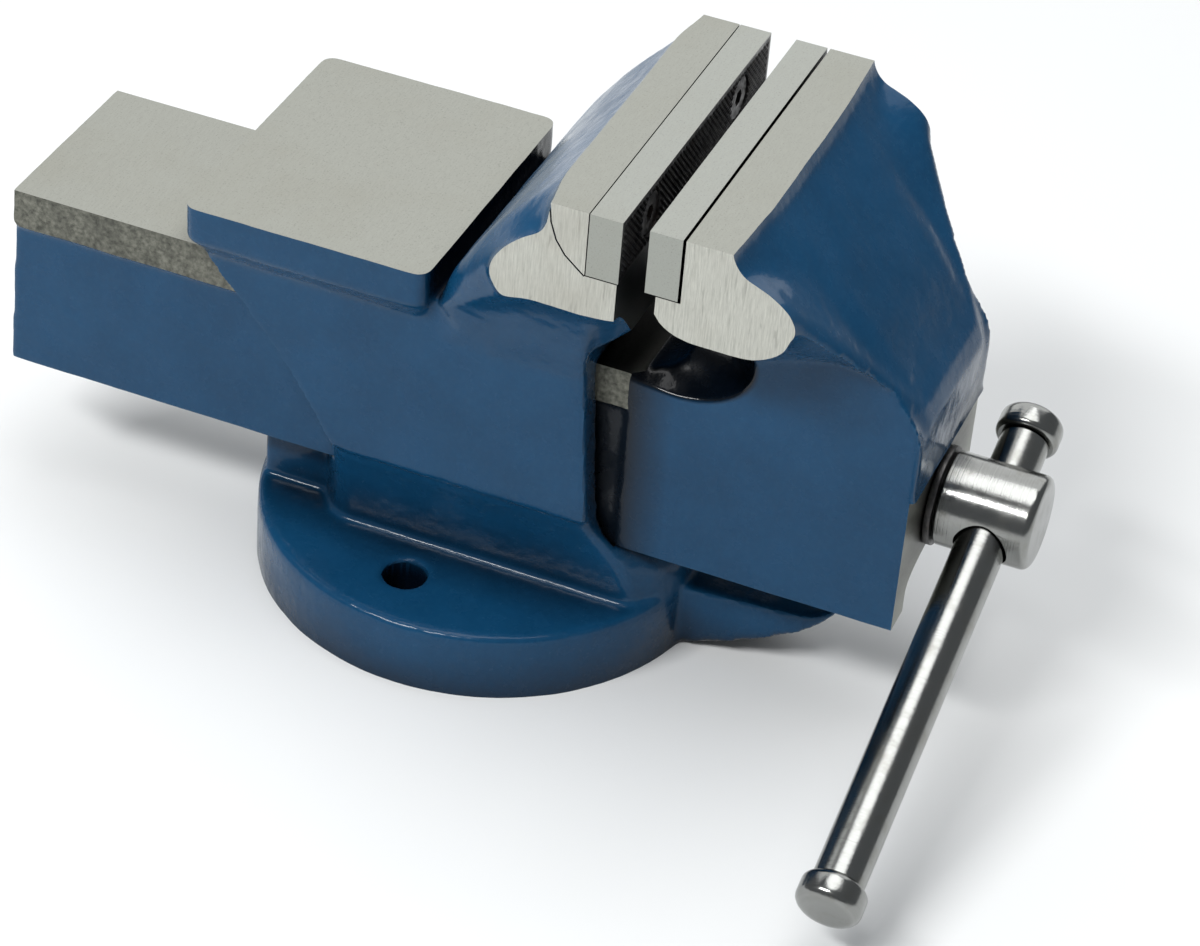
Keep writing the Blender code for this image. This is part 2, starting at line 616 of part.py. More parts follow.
def moving_jaw_block():
    """Slide and jaw as one skin: a core between the slide's sides and a flared wing each side."""
    shape = bmesh.new()
    paths = moving_jaw_paths()
    face = MOVING_GRIP_X + MOVING_PLATE_PROUD
    top = JAW_TOP_Z + MACHINING_STOCK
    step_z = RAM_TOP_Z + 0.0070
    slide = [(FRONT_FACE_X + FRONT_LIP, RAM_BOTTOM_Z), (RAM_REAR_X - RAM_REAR_DRAFT, RAM_BOTTOM_Z),
             (RAM_REAR_X, RAM_TOP_Z),
             (face - 0.0090, RAM_TOP_Z), (face - 0.0035, RAM_TOP_Z + 0.0011),
             (face - 0.0007, RAM_TOP_Z + 0.0040)]

    def core_ring(y, share):
        front = blend(paths["middle_front"], paths["side_front"], share)
        nose = blend(paths["middle_nose"], paths["side_nose"], share)[1:]
        outline = [(face, step_z), (face, top)] + front + nose + slide
        return [shape.verts.new(point) for point in at_y(outline, y)]

    nose_y = NOSE_HALF_WIDTH
    shares = [1.0, 0.8, 0.55, 0.3, 0.12, 0.0]
    core = [core_ring(-lerp(nose_y, RAM_HALF_WIDTH, share), share ** 1.3) for share in shares]
    core += [core_ring(lerp(nose_y, RAM_HALF_WIDTH, share), share ** 1.3) for share in reversed(shares)]
    skin(shape, core)

    for side, root in ((-1, core[0]), (1, core[-1])):
        upper = root[:2 + FRONT_POINTS]
        arch = [shape.verts.new(point) for point in at_y(paths["arch"][1:], side * RAM_HALF_WIDTH)]
        shape.faces.new(root[1 + FRONT_POINTS:] + root[:1] + arch[::-1])
        wing = [upper + arch]
        for step in range(1, 10):
            share = min(step / 8, 1.0)
            y = lerp(RAM_HALF_WIDTH, JAW_HALF_WIDTH, share) + (MACHINING_STOCK if step == 9 else 0.0)
            rise = math.sin(math.pi / 2 * share)
            front = blend(paths["side_front"], paths["end_front"], share ** 0.9)
            under = blend(paths["arch"], paths["end_under"], rise)
            under[0] = front[-1]
            back_z = lerp(step_z, PLATE_BOTTOM_Z - 0.0010, share)
            outline = [(face, back_z), (face, top)] + front + under[1:]
            wing.append([shape.verts.new(point) for point in at_y(outline, side * y)])
        skin(shape, wing)
        shape.faces.new(wing[-1])
    return shape


def moving_cuts():
    """Hollow of the slide, its relieved sides and the spindle bore."""
    shape = bmesh.new()
    beyond = 0.0100
    hollow = RAM_HALF_WIDTH - RAM_WALL
    add_box(shape, (RAM_REAR_X - beyond, -hollow, RAM_BOTTOM_Z - beyond),
            (FRONT_WALL_INNER_X, hollow, RAM_TOP_Z - RAM_ROOF))
    relief_y = RAM_HALF_WIDTH - RAM_RELIEF
    for side in (-1, 1):
        near, far = sorted((side * relief_y, side * (RAM_HALF_WIDTH + beyond)))
        add_box(shape, (RAM_REAR_X - beyond, near, RAM_BOTTOM_Z - beyond),
                (GRIP_X - 0.0020, far, RAM_TOP_Z - RAM_STRIP_HEIGHT))
    add_box(shape, (FRONT_FACE_X, -RAM_HALF_WIDTH - beyond, RAM_BOTTOM_Z - beyond),
            (FRONT_FACE_X + beyond, RAM_HALF_WIDTH + beyond, FRONT_LIP_Z))
    return shape


def front_arch():
    """Arched opening under the front wall, open to the slide's hollow behind it."""
    shape = bmesh.new()
    beyond = 0.0100
    half = RAM_HALF_WIDTH - RAM_WALL - 0.0004
    outline = [(-half, RAM_BOTTOM_Z - beyond)]
    for step in range(17):
        angle = math.pi * (1 - step / 16)
        outline.append((half * math.cos(angle),
                        lerp(FRONT_ARCH_FOOT_Z, FRONT_ARCH_TOP_Z, math.sin(angle))))
    outline.append((half, RAM_BOTTOM_Z - beyond))
    ends = (FRONT_WALL_INNER_X - beyond, FRONT_FACE_X + beyond)
    loft(shape, [[Vector((x, y, z)) for y, z in outline] for x in ends])
    return shape


def spindle_bore():
    shape = bmesh.new()
    matrix = aim((FRONT_WALL_INNER_X, 0.0, SPINDLE_Z), (1.0, 0.0, 0.0))
    add_turned(shape, [(-0.0050, BORE_RADIUS), (FRONT_WALL + 0.0100, BORE_RADIUS)], matrix)
    return shape


def build_moving_casting(enamel):
    casting = make_object("moving_jaw_casting", moving_jaw_block(), enamel)
    for cutter in (moving_cuts(), front_arch(), spindle_bore(), *jaw_cuts(MOVING_SEAT_X, -1)):
        combine(casting, cutter, "DIFFERENCE", "MANIFOLD")
    return casting


# ---- jaw plates and their screws --------------------------------------------------------
def build_plate(name, grip_x, outward, steel):
    """Steel jaw plate with two countersunk holes; outward is the gripping direction."""
    shape = bmesh.new()
    back_x = grip_x - outward * PLATE_THICKNESS
    add_box(shape, (min(grip_x, back_x), -JAW_HALF_WIDTH, PLATE_BOTTOM_Z),
            (max(grip_x, back_x), JAW_HALF_WIDTH, JAW_TOP_Z))
    plate = make_object(name, shape, steel)
    head = PLATE_SCREW_HEAD_DIAMETER / 2 + GAP
    shank = PLATE_SCREW_DIAMETER / 2 + GAP
    depth = PLATE_SCREW_RECESS + PLATE_SCREW_HEAD_HEIGHT
    holes = bmesh.new()
    for side in (-1, 1):
        matrix = aim((grip_x, side * PLATE_SCREW_SPACING / 2, PLATE_SCREW_Z), (-outward, 0.0, 0.0))
        profile = [(-0.0020, head), (PLATE_SCREW_RECESS + GAP, head), (depth + GAP, shank),
                   (PLATE_THICKNESS + 0.0020, shank)]
        add_turned(holes, profile, matrix, SMALL_SIDES)
    combine(plate, holes, "DIFFERENCE")
    return plate


def build_plate_screw(name, grip_x, outward, y, steel):
    """Countersunk screw with a hexagon socket, its head just under the gripping face."""
    shape = bmesh.new()
    head = PLATE_SCREW_HEAD_DIAMETER / 2
    shank = PLATE_SCREW_DIAMETER / 2
    face = PLATE_SCREW_RECESS
    socket = PLATE_SCREW_SOCKET / 2
    profile = [(face + 0.0026, socket, "hex"), (face, socket, "hex"), (face, head - 0.0002),
               (face + 0.0003, head), (face + PLATE_SCREW_HEAD_HEIGHT, shank),
               (PLATE_SCREW_LENGTH - 0.0006, shank), (PLATE_SCREW_LENGTH, shank - 0.0006)]
    add_turned(shape, profile, aim((grip_x, y, PLATE_SCREW_Z), (-outward, 0.0, 0.0)), SMALL_SIDES)
    return make_object(name, shape, steel)


# ---- nut and its bolts ------------------------------------------------------------------
def build_nut(bronze):
    """Nut block standing on the channel floor inside the slide, with a rounded top."""
    shape = bmesh.new()
    base_z = CHANNEL_FLOOR_Z + GAP
    outline = [(-NUT_HALF_WIDTH, base_z), (NUT_HALF_WIDTH, base_z)]
    for step in range(17):
        angle = math.pi * step / 16
        outline.append((NUT_HALF_WIDTH * math.cos(angle), SPINDLE_Z + NUT_HALF_WIDTH * math.sin(angle)))
    ends = (NUT_FRONT_X - NUT_LENGTH, NUT_FRONT_X)
    loft(shape, [[Vector((x, y, z)) for y, z in outline] for x in ends])
    nut = make_object("spindle_nut", shape, bronze)
    bore = bmesh.new()
    matrix = aim((ends[0], 0.0, SPINDLE_Z), (1.0, 0.0, 0.0))
    add_turned(bore, [(-0.0050, BORE_RADIUS), (NUT_LENGTH + 0.0050, BORE_RADIUS)], matrix)
    combine(nut, bore, "DIFFERENCE")
    holes = bmesh.new()
    for side in (-1, 1):
        centre = (NUT_CENTRE_X + side * NUT_BOLT_SPACING / 2, 0.0, 0.0)
        radius = NUT_BOLT_RADIUS + GAP
        add_turned(holes, [(base_z - 0.0020, radius), (SPINDLE_Z, radius)],
                   aim(centre, (0.0, 0.0, 1.0)), SMALL_SIDES)
    combine(nut, holes, "DIFFERENCE")
    return nut


def build_nut_bolt(name, x, steel):
    """Hexagon bolt that comes up from the underside of the base into the nut."""
    shape = bmesh.new()
    head_top = COUNTERBORE_DEPTH - GAP - NUT_WASHER_THICKNESS - GAP
    head_bottom = head_top - NUT_BOLT_HEAD_HEIGHT
    half = NUT_BOLT_HEAD / 2
    profile = [(head_bottom, half - 0.0005), (head_bottom + 0.0008, half, "hex"), (head_top, half, "hex"),
               (head_top, NUT_BOLT_RADIUS), (NUT_BOLT_TOP_Z - 0.0008, NUT_BOLT_RADIUS),
               (NUT_BOLT_TOP_Z, NUT_BOLT_RADIUS - 0.0008)]
    add_turned(shape, profile, aim((x, 0.0, 0.0), (0.0, 0.0, 1.0)), SMALL_SIDES)
    return make_object(name, shape, steel)


def build_ring(name, start, length, inner, outer, matrix, material, chamfer=0.0003, sides=ROUND_SIDES):
    """Washer or collar: a turned ring with slightly broken outer edges."""
    shape = bmesh.new()
    end = start + length
    profile = [(start, inner), (end, inner), (end, outer - chamfer), (end - chamfer, outer),
               (start + chamfer, outer), (start, outer - chamfer)]
    add_turned(shape, profile, matrix, sides, closed=True)
    return make_object(name, shape, material)


# ---- spindle group ----------------------------------------------------------------------
def build_spindle(steel):
    """Screw with its head; the cross holes take the handle and the collar pin."""
    shape = bmesh.new()
    head = SPINDLE_HEAD_DIAMETER / 2
    front = SPINDLE_HEAD_X + SPINDLE_HEAD_LENGTH
    profile = [(SPINDLE_REAR_X, SPINDLE_RADIUS - 0.0020), (SPINDLE_REAR_X + 0.0020, SPINDLE_RADIUS),
               (SPINDLE_HEAD_X, SPINDLE_RADIUS), (SPINDLE_HEAD_X, head - 0.0010),
               (SPINDLE_HEAD_X + 0.0010, head)]
    profile += rounded_profile_end(front, head, SPINDLE_HEAD_ROUND)
    add_turned(shape, profile, aim((0.0, 0.0, SPINDLE_Z), (1.0, 0.0, 0.0)))
    spindle = make_object("spindle", shape, steel)
    hole = bmesh.new()
    radius = HANDLE_DIAMETER / 2 + HANDLE_HOLE_CLEARANCE
    matrix = aim(HANDLE_ORIGIN, HANDLE_DIRECTION)
    add_turned(hole, [(-SPINDLE_HEAD_DIAMETER, radius), (SPINDLE_HEAD_DIAMETER, radius)], matrix, 32)
    combine(spindle, hole, "DIFFERENCE")
    hole = bmesh.new()
    radius = COLLAR_PIN_DIAMETER / 2 + GAP
    matrix = aim((COLLAR_X + COLLAR_LENGTH / 2, 0.0, SPINDLE_Z), (0.0, 0.0, 1.0))
    add_turned(hole, [(-COLLAR_DIAMETER, radius), (COLLAR_DIAMETER, radius)], matrix, 16)
    combine(spindle, hole, "DIFFERENCE")
    return spindle


def build_collar(steel):
    axis = aim((0.0, 0.0, SPINDLE_Z), (1.0, 0.0, 0.0))
    collar = build_ring("retaining_collar", COLLAR_X, COLLAR_LENGTH, BORE_RADIUS,
                        COLLAR_DIAMETER / 2, axis, steel, 0.0006)
    hole = bmesh.new()
    radius = COLLAR_PIN_DIAMETER / 2 + GAP
    matrix = aim((COLLAR_X + COLLAR_LENGTH / 2, 0.0, SPINDLE_Z), (0.0, 0.0, 1.0))
    add_turned(hole, [(-COLLAR_DIAMETER, radius), (COLLAR_DIAMETER, radius)], matrix, 16)
    combine(collar, hole, "DIFFERENCE")
    return collar


def build_collar_pin(steel):
    shape = bmesh.new()
    half = COLLAR_DIAMETER / 2 - 0.0004
    radius = COLLAR_PIN_DIAMETER / 2
    profile = [(-half, radius - 0.0004), (-half + 0.0004, radius), (half - 0.0004, radius),
               (half, radius - 0.0004)]
    matrix = aim((COLLAR_X + COLLAR_LENGTH / 2, 0.0, SPINDLE_Z), (0.0, 0.0, 1.0))
    add_turned(shape, profile, matrix, 16)
    return make_object("collar_pin", shape, steel)


def build_spring(steel):
    """Coil spring around the spindle that keeps the thrust faces together."""
    shape = bmesh.new()
    wire = SPRING_WIRE / 2
    coil = BORE_RADIUS + 0.0012 + wire
    start = SPRING_FRONT_X - SPRING_LENGTH + wire
    length = SPRING_LENGTH - 2 * wire
    steps = int(SPRING_TURNS * 16)
    rings = []
    for step in range(steps + 1):
        share = step / steps
        angle = 2 * math.pi * SPRING_TURNS * share
        outward = Vector((0.0, math.cos(angle), math.sin(angle)))
        centre = Vector((start + length * share, 0.0, SPINDLE_Z)) + outward * coil
        along = Vector((length / (2 * math.pi * SPRING_TURNS), -coil * math.sin(angle),
                        coil * math.cos(angle))).normalized()
        across = along.cross(outward).normalized()
        ring = []
        for corner in range(6):
            turn = 2 * math.pi * corner / 6
            ring.append(centre + (outward * math.cos(turn) + across * math.sin(turn)) * wire)
        rings.append(ring)
    loft(shape, rings)
    return make_object("thrust_spring", shape, steel)


# ---- handle -----------------------------------------------------------------------------
def build_handle_bar(steel):
    """Sliding bar; its ends are turned down to enter the caps."""
    shape = bmesh.new()
    radius = HANDLE_DIAMETER / 2
    spigot = CAP_BORE_DIAMETER / 2 - GAP
    upper = -HANDLE_UPPER_REACH + CAP_LENGTH + GAP
    lower = HANDLE_LOWER_REACH - CAP_LENGTH - GAP
    depth = CAP_BORE_DEPTH - GAP
    profile = [(upper - depth, spigot), (upper, spigot), (upper, radius), (lower, radius),
               (lower, spigot), (lower + depth, spigot)]
    add_turned(shape, profile, aim(HANDLE_ORIGIN, HANDLE_DIRECTION), 32)
    return make_object("handle_bar", shape, steel)


def build_cap(name, end, outward, steel):
    """End cap: a short collar, a groove and a rounded rim; outward is +1 at the lower end."""
    shape = bmesh.new()
    rim = CAP_DIAMETER / 2
    collar = rim - 0.0006
    bore = CAP_BORE_DIAMETER / 2
    inner = end - outward * CAP_LENGTH
    rings = [(inner + outward * CAP_BORE_DEPTH, bore), (inner, bore), (inner, collar - 0.0006),
             (inner + outward * 0.0007, collar), (inner + outward * 0.0024, collar),
             (inner + outward * 0.0028, collar - 0.0006), (inner + outward * 0.0033, collar),
             (inner + outward * 0.0042, rim), (end - outward * 0.0014, rim),
             (end - outward * 0.0004, rim - 0.0006), (end, rim - 0.0016)]
    add_turned(shape, rings, aim(HANDLE_ORIGIN, HANDLE_DIRECTION), 32)
    return make_object(name, shape, steel)


# ---- assembly ---------------------------------------------------------------------------
def build_fixed_group(enamel, steel, dark_steel, bronze):
    build_body_casting(enamel)
    build_plate("fixed_jaw_plate", GRIP_X, 1, steel)
    for name, side in (("left", 1), ("right", -1)):
        y = side * PLATE_SCREW_SPACING / 2
        build_plate_screw("fixed_plate_screw_" + name, GRIP_X, 1, y, dark_steel)
    build_nut(bronze)
    for name, side in (("front", 1), ("rear", -1)):
        x = NUT_CENTRE_X + side * NUT_BOLT_SPACING / 2
        build_nut_bolt("nut_bolt_" + name, x, dark_steel)
        washer_z = COUNTERBORE_DEPTH - GAP - NUT_WASHER_THICKNESS
        build_ring("nut_bolt_washer_" + name, washer_z, NUT_WASHER_THICKNESS, NUT_BOLT_RADIUS + GAP,
                   NUT_WASHER_DIAMETER / 2, aim((x, 0.0, 0.0), (0.0, 0.0, 1.0)), dark_steel,
                   sides=SMALL_SIDES)


def build_moving_group(joint, enamel, steel, dark_steel):
    pieces = [build_moving_casting(enamel), build_plate("moving_jaw_plate", MOVING_GRIP_X, -1, steel)]
    for name, side in (("left", 1), ("right", -1)):
        y = side * PLATE_SCREW_SPACING / 2
        pieces.append(build_plate_screw("moving_plate_screw_" + name, MOVING_GRIP_X, -1, y, dark_steel))
    for piece in pieces:
        attach(piece, joint)


def build_spindle_group(joint, steel, dark_steel):
    axis = aim((0.0, 0.0, SPINDLE_Z), (1.0, 0.0, 0.0))
    thrust = build_ring("thrust_washer", FRONT_FACE_X + GAP, WASHER_THICKNESS, BORE_RADIUS,
                        THRUST_WASHER_DIAMETER / 2, axis, dark_steel)
    spring_washer = build_ring("spring_washer", SPRING_WASHER_X, WASHER_THICKNESS, BORE_RADIUS,
                               SPRING_WASHER_DIAMETER / 2, axis, dark_steel)
    pieces = [build_spindle(steel), thrust, spring_washer, build_spring(dark_steel),
              build_collar(dark_steel), build_collar_pin(dark_steel)]
    for piece in pieces:
        attach(piece, joint)


def build_handle_group(joint, steel):
    pieces = [build_handle_bar(steel), build_cap("handle_cap_upper", -HANDLE_UPPER_REACH, -1, steel),
              build_cap("handle_cap_lower", HANDLE_LOWER_REACH, 1, steel)]
    for piece in pieces:
        attach(piece, joint)


def build():
    clear_scene()
    enamel = make_material("blue_enamel", (0.018, 0.085, 0.205), 0.32, 0.0)
    steel = make_material("ground_steel", (0.56, 0.55, 0.51), 0.36, 1.0)
    bright = make_material("turned_steel", (0.62, 0.60, 0.57), 0.24, 1.0)
    dark_steel = make_material("dark_steel", (0.12, 0.12, 0.125), 0.42, 1.0)
    bronze = make_material("nut_iron", (0.23, 0.22, 0.21), 0.55, 1.0)
    slide_joint = make_empty("jaw_slide", (0.0, 0.0, SPINDLE_Z))
    spin_joint = make_empty("spindle_spin", (FRONT_FACE_X, 0.0, SPINDLE_Z), slide_joint)
    handle_joint = make_empty("handle_slide", HANDLE_ORIGIN, spin_joint)
    build_fixed_group(enamel, steel, dark_steel, bronze)
    build_moving_group(slide_joint, enamel, steel, dark_steel)
    build_spindle_group(spin_joint, bright, dark_steel)
    build_handle_group(handle_joint, bright)


build()
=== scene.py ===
"""Bench vise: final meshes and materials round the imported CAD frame. Metres, +Z up, +X towards the handle."""
import json
import math

import bmesh
import bpy
import numpy as np
from mathutils import Matrix, Vector, noise


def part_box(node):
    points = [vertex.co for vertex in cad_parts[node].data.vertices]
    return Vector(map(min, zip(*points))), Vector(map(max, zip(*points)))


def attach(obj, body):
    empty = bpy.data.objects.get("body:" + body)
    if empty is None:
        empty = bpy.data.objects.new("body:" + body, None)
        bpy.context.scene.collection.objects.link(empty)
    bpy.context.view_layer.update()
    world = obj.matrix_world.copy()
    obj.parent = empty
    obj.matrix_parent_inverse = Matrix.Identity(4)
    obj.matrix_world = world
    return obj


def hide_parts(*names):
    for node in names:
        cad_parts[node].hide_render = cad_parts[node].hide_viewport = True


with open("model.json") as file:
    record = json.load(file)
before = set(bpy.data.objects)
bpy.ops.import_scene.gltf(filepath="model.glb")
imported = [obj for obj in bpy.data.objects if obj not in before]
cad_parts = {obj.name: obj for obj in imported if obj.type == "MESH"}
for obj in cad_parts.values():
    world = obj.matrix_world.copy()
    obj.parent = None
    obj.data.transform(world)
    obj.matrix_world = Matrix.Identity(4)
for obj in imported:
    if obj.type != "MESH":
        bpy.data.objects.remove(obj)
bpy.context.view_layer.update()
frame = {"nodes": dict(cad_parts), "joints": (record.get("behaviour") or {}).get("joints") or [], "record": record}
NODES = frame["nodes"]
JOINTS = {joint["name"]: joint for joint in frame["joints"]}
MOUNTS = {mount["name"]: mount for mount in frame["record"]["mounts"]}

# ---- sizes taken from the frame ---------------------------------------------------------
FIXED_PLATE_LOW, FIXED_PLATE_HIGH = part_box("fixed_jaw_plate")
MOVING_PLATE_LOW, MOVING_PLATE_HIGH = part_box("moving_jaw_plate")
SPINDLE_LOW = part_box("spindle")[0]
COLLAR_LOW, COLLAR_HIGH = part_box("retaining_collar")
JAW_TOP_Z = FIXED_PLATE_HIGH.z
JAW_END_Y = FIXED_PLATE_HIGH.y
PLATE_BOTTOM_Z = FIXED_PLATE_LOW.z
ANVIL_TOP_Z = MOUNTS["anvil_top"]["pos_m"][2]
BASE_TOP_Z = MOUNTS["bolt_seat_left"]["pos_m"][2]
SPINDLE_ORIGIN = Vector(JOINTS["spindle_spin"]["pos_m"])
SPINDLE_AXIS = Vector(JOINTS["spindle_spin"]["axis"])
SPINDLE_Z = SPINDLE_ORIGIN.z
HANDLE_AXIS = Vector(JOINTS["handle_slide"]["axis"]).normalized()
THREAD_PITCH = frame["record"]["behaviour"]["couplings"][0]["ratio"] * 2 * math.pi

# ---- sizes repeated from the part -------------------------------------------------------
RAM_HALF_WIDTH = 0.0282
RAM_TOP_Z = 0.0918
RAM_BOTTOM_Z = 0.0376
CHANNEL_CLEARANCE = 0.0004
PLATE_PROUD_FIXED = 0.0003
PLATE_PROUD_MOVING = 0.0029
PLATE_GAP_FIXED = 0.0003      # behind the fixed plate
PLATE_GAP_MOVING = 0.0008
FRONT_FACE_X = 0.1210
FRONT_LIP_Z = 0.0778
ANVIL_FRONT_X = -0.0048
PAINT_START_X = 0.0410        # ahead of this the top of the slide is painted
HOLLOW_CENTRE = (0.0580, 0.0340, 0.1025)      # hollows under the ends of the moving jaw
HOLLOW_RADII = (0.0210, 0.0165, 0.0145)
BORE_RADIUS = 0.0093
BOLT_HOLE_RADIUS = 0.00575
BOLT_HOLE_X = -0.0058
BOLT_HOLE_Y = 0.0425
NUT_BOLT_X = 0.0130
NUT_BOLT_HOLE_RADIUS = 0.0043
COUNTERBORE_RADIUS = 0.0095
COUNTERBORE_DEPTH = 0.0125
PLATE_SCREW_Y = 0.0300
PLATE_SCREW_HOLE_RADIUS = 0.0033
PLATE_SCREW_HEAD_RADIUS = 0.0061
PLATE_SCREW_HOLE_DEPTH = 0.0085
HANDLE_HOLE_RADIUS = 0.0071
HANDLE_HOLE_X = 0.1364
HANDLE_ORIGIN = Vector((HANDLE_HOLE_X, 0.0, SPINDLE_Z))

# ---- casting finish ---------------------------------------------------------------------
VOXEL = 0.0009
STOCK = 0.0030                # cast surplus that the machining takes off again
FILLET_STEPS = 9              # smoothing rounds, which leave cast edges about 2 mm round
FAR = 0.2
ON_PLANE = 4e-5               # how near a machined plane a face has to be to count as on it
LUMP_SCALE = 95.0             # unevenness of the cast skin, in waves per metre
LUMP_HEIGHT = 0.00016
GRAIN_SCALE = 420.0
GRAIN_HEIGHT = 0.00006

# ---- smaller features -------------------------------------------------------------------
FIT_GAP = 0.0003
WASHER_EDGE = 0.0003
THREAD_DEPTH = 0.0021
THREAD_STEP = 0.0003          # length of the screw between two rings of vertices
THREAD_LEAD_IN = 0.0012
HEAD_ROUNDING = 0.0022
PIN_HOLE_RADIUS = 0.0018
SPRING_WIRE_RADIUS = 0.0010
SPRING_TURNS = 3.5
CAP_SPIGOT_RADIUS = 0.0037
CAP_BORE_RADIUS = 0.0040
CAP_BORE_DEPTH = 0.0055
BAR_EDGE = 0.0004
GRIP_PITCH = 0.0020           # cross-cut of the gripping faces
GRIP_DEPTH = 0.0005
GRIP_EDGE = 0.0012            # plain border round the cross-cut
STEP_LINE_HALF_WIDTH = 0.00022
STEP_LINE_DEPTH = 0.0005


# ---- mesh helpers -----------------------------------------------------------------------
def new_object(name, shape, materials):
    mesh = bpy.data.meshes.new(name)
    shape.to_mesh(mesh)
    shape.free()
    piece = bpy.data.objects.new(name, mesh)
    bpy.context.scene.collection.objects.link(piece)
    for material in materials:
        mesh.materials.append(material)
    return piece


def smooth_with_sharp_edges(piece, degrees):
    piece.data.shade_smooth()
    piece.data.set_sharp_from_angle(angle=math.radians(degrees))


def stand_for(piece, body, slot, *nodes):
    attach(piece, body)
    if nodes:
        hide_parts(*nodes)


def bake_modifiers(piece):
    """The evaluated mesh takes the place of the piece's own, and its modifiers go."""
    graph = bpy.context.evaluated_depsgraph_get()
    graph.update()
    mesh = bpy.data.meshes.new_from_object(piece.evaluated_get(graph))
    piece.modifiers.clear()
    old = piece.data
    piece.data = mesh
    bpy.data.meshes.remove(old)


def cut(piece, shape, solver="MANIFOLD"):
    cutter = new_object("cutter", shape, [])
    modifier = piece.modifiers.new("cut", "BOOLEAN")
    modifier.operation = "DIFFERENCE"
    modifier.solver = solver
    modifier.object = cutter
    bake_modifiers(piece)
    bpy.data.objects.remove(cutter)


def box_shape(low, high):
    shape = bmesh.new()
    bmesh.ops.create_cube(shape, size=1.0)
    low, high = Vector(low), Vector(high)
    for vertex in shape.verts:
        vertex.co = Vector(low[i] + (vertex.co[i] + 0.5) * (high[i] - low[i]) for i in range(3))
    return shape


def axis_matrix(origin, axis):
    return Matrix.Translation(origin) @ Vector(axis).to_track_quat("Z", "Y").to_matrix().to_4x4()


def lathe_shape(profile, origin, axis, sides=96, ring=False):
    """Solid turned about an axis from (place along the axis, radius) pairs; a ring has an open bore."""
    shape = bmesh.new()
    matrix = axis_matrix(origin, axis)
    rows = []
    for place, radius in profile:
        angles = [2 * math.pi * side / sides for side in range(sides)]
        rows.append([shape.verts.new(matrix @ Vector((radius * math.cos(a), radius * math.sin(a), place)))
                     for a in angles])
    pairs = list(zip(rows, rows[1:]))
    if ring:
        pairs.append((rows[-1], rows[0]))
    for lower, upper in pairs:
        for side in range(sides):
            after = (side + 1) % sides
            shape.faces.new((lower[side], lower[after], upper[after], upper[side]))
    if not ring:
        shape.faces.new(rows[0][::-1])
        shape.faces.new(rows[-1])
    bmesh.ops.recalc_face_normals(shape, faces=shape.faces)
    return shape


def along(node, origin, axis):
    """Lowest and highest place of a CAD node along an axis through origin, and its largest radius."""
    axis = Vector(axis).normalized()
    offsets = [vertex.co - Vector(origin) for vertex in NODES[node].data.vertices]
    places = [offset.dot(axis) for offset in offsets]
    radius = max((offset - axis * place).length for offset, place in zip(offsets, places))
    return min(places), max(places), radius


def broken_edge(start, end, radius, break_size):
    """Profile of a plain turned length with both edges rounded off in three steps."""
    profile = [(start + break_size * (1 - math.cos(a)), radius - break_size * (1 - math.sin(a)))
               for a in (0.0, math.pi / 6, math.pi / 3, math.pi / 2)]
    profile += [(end - break_size * (1 - math.cos(a)), radius - break_size * (1 - math.sin(a)))
                for a in (math.pi / 2, math.pi / 3, math.pi / 6, 0.0)]
    return profile


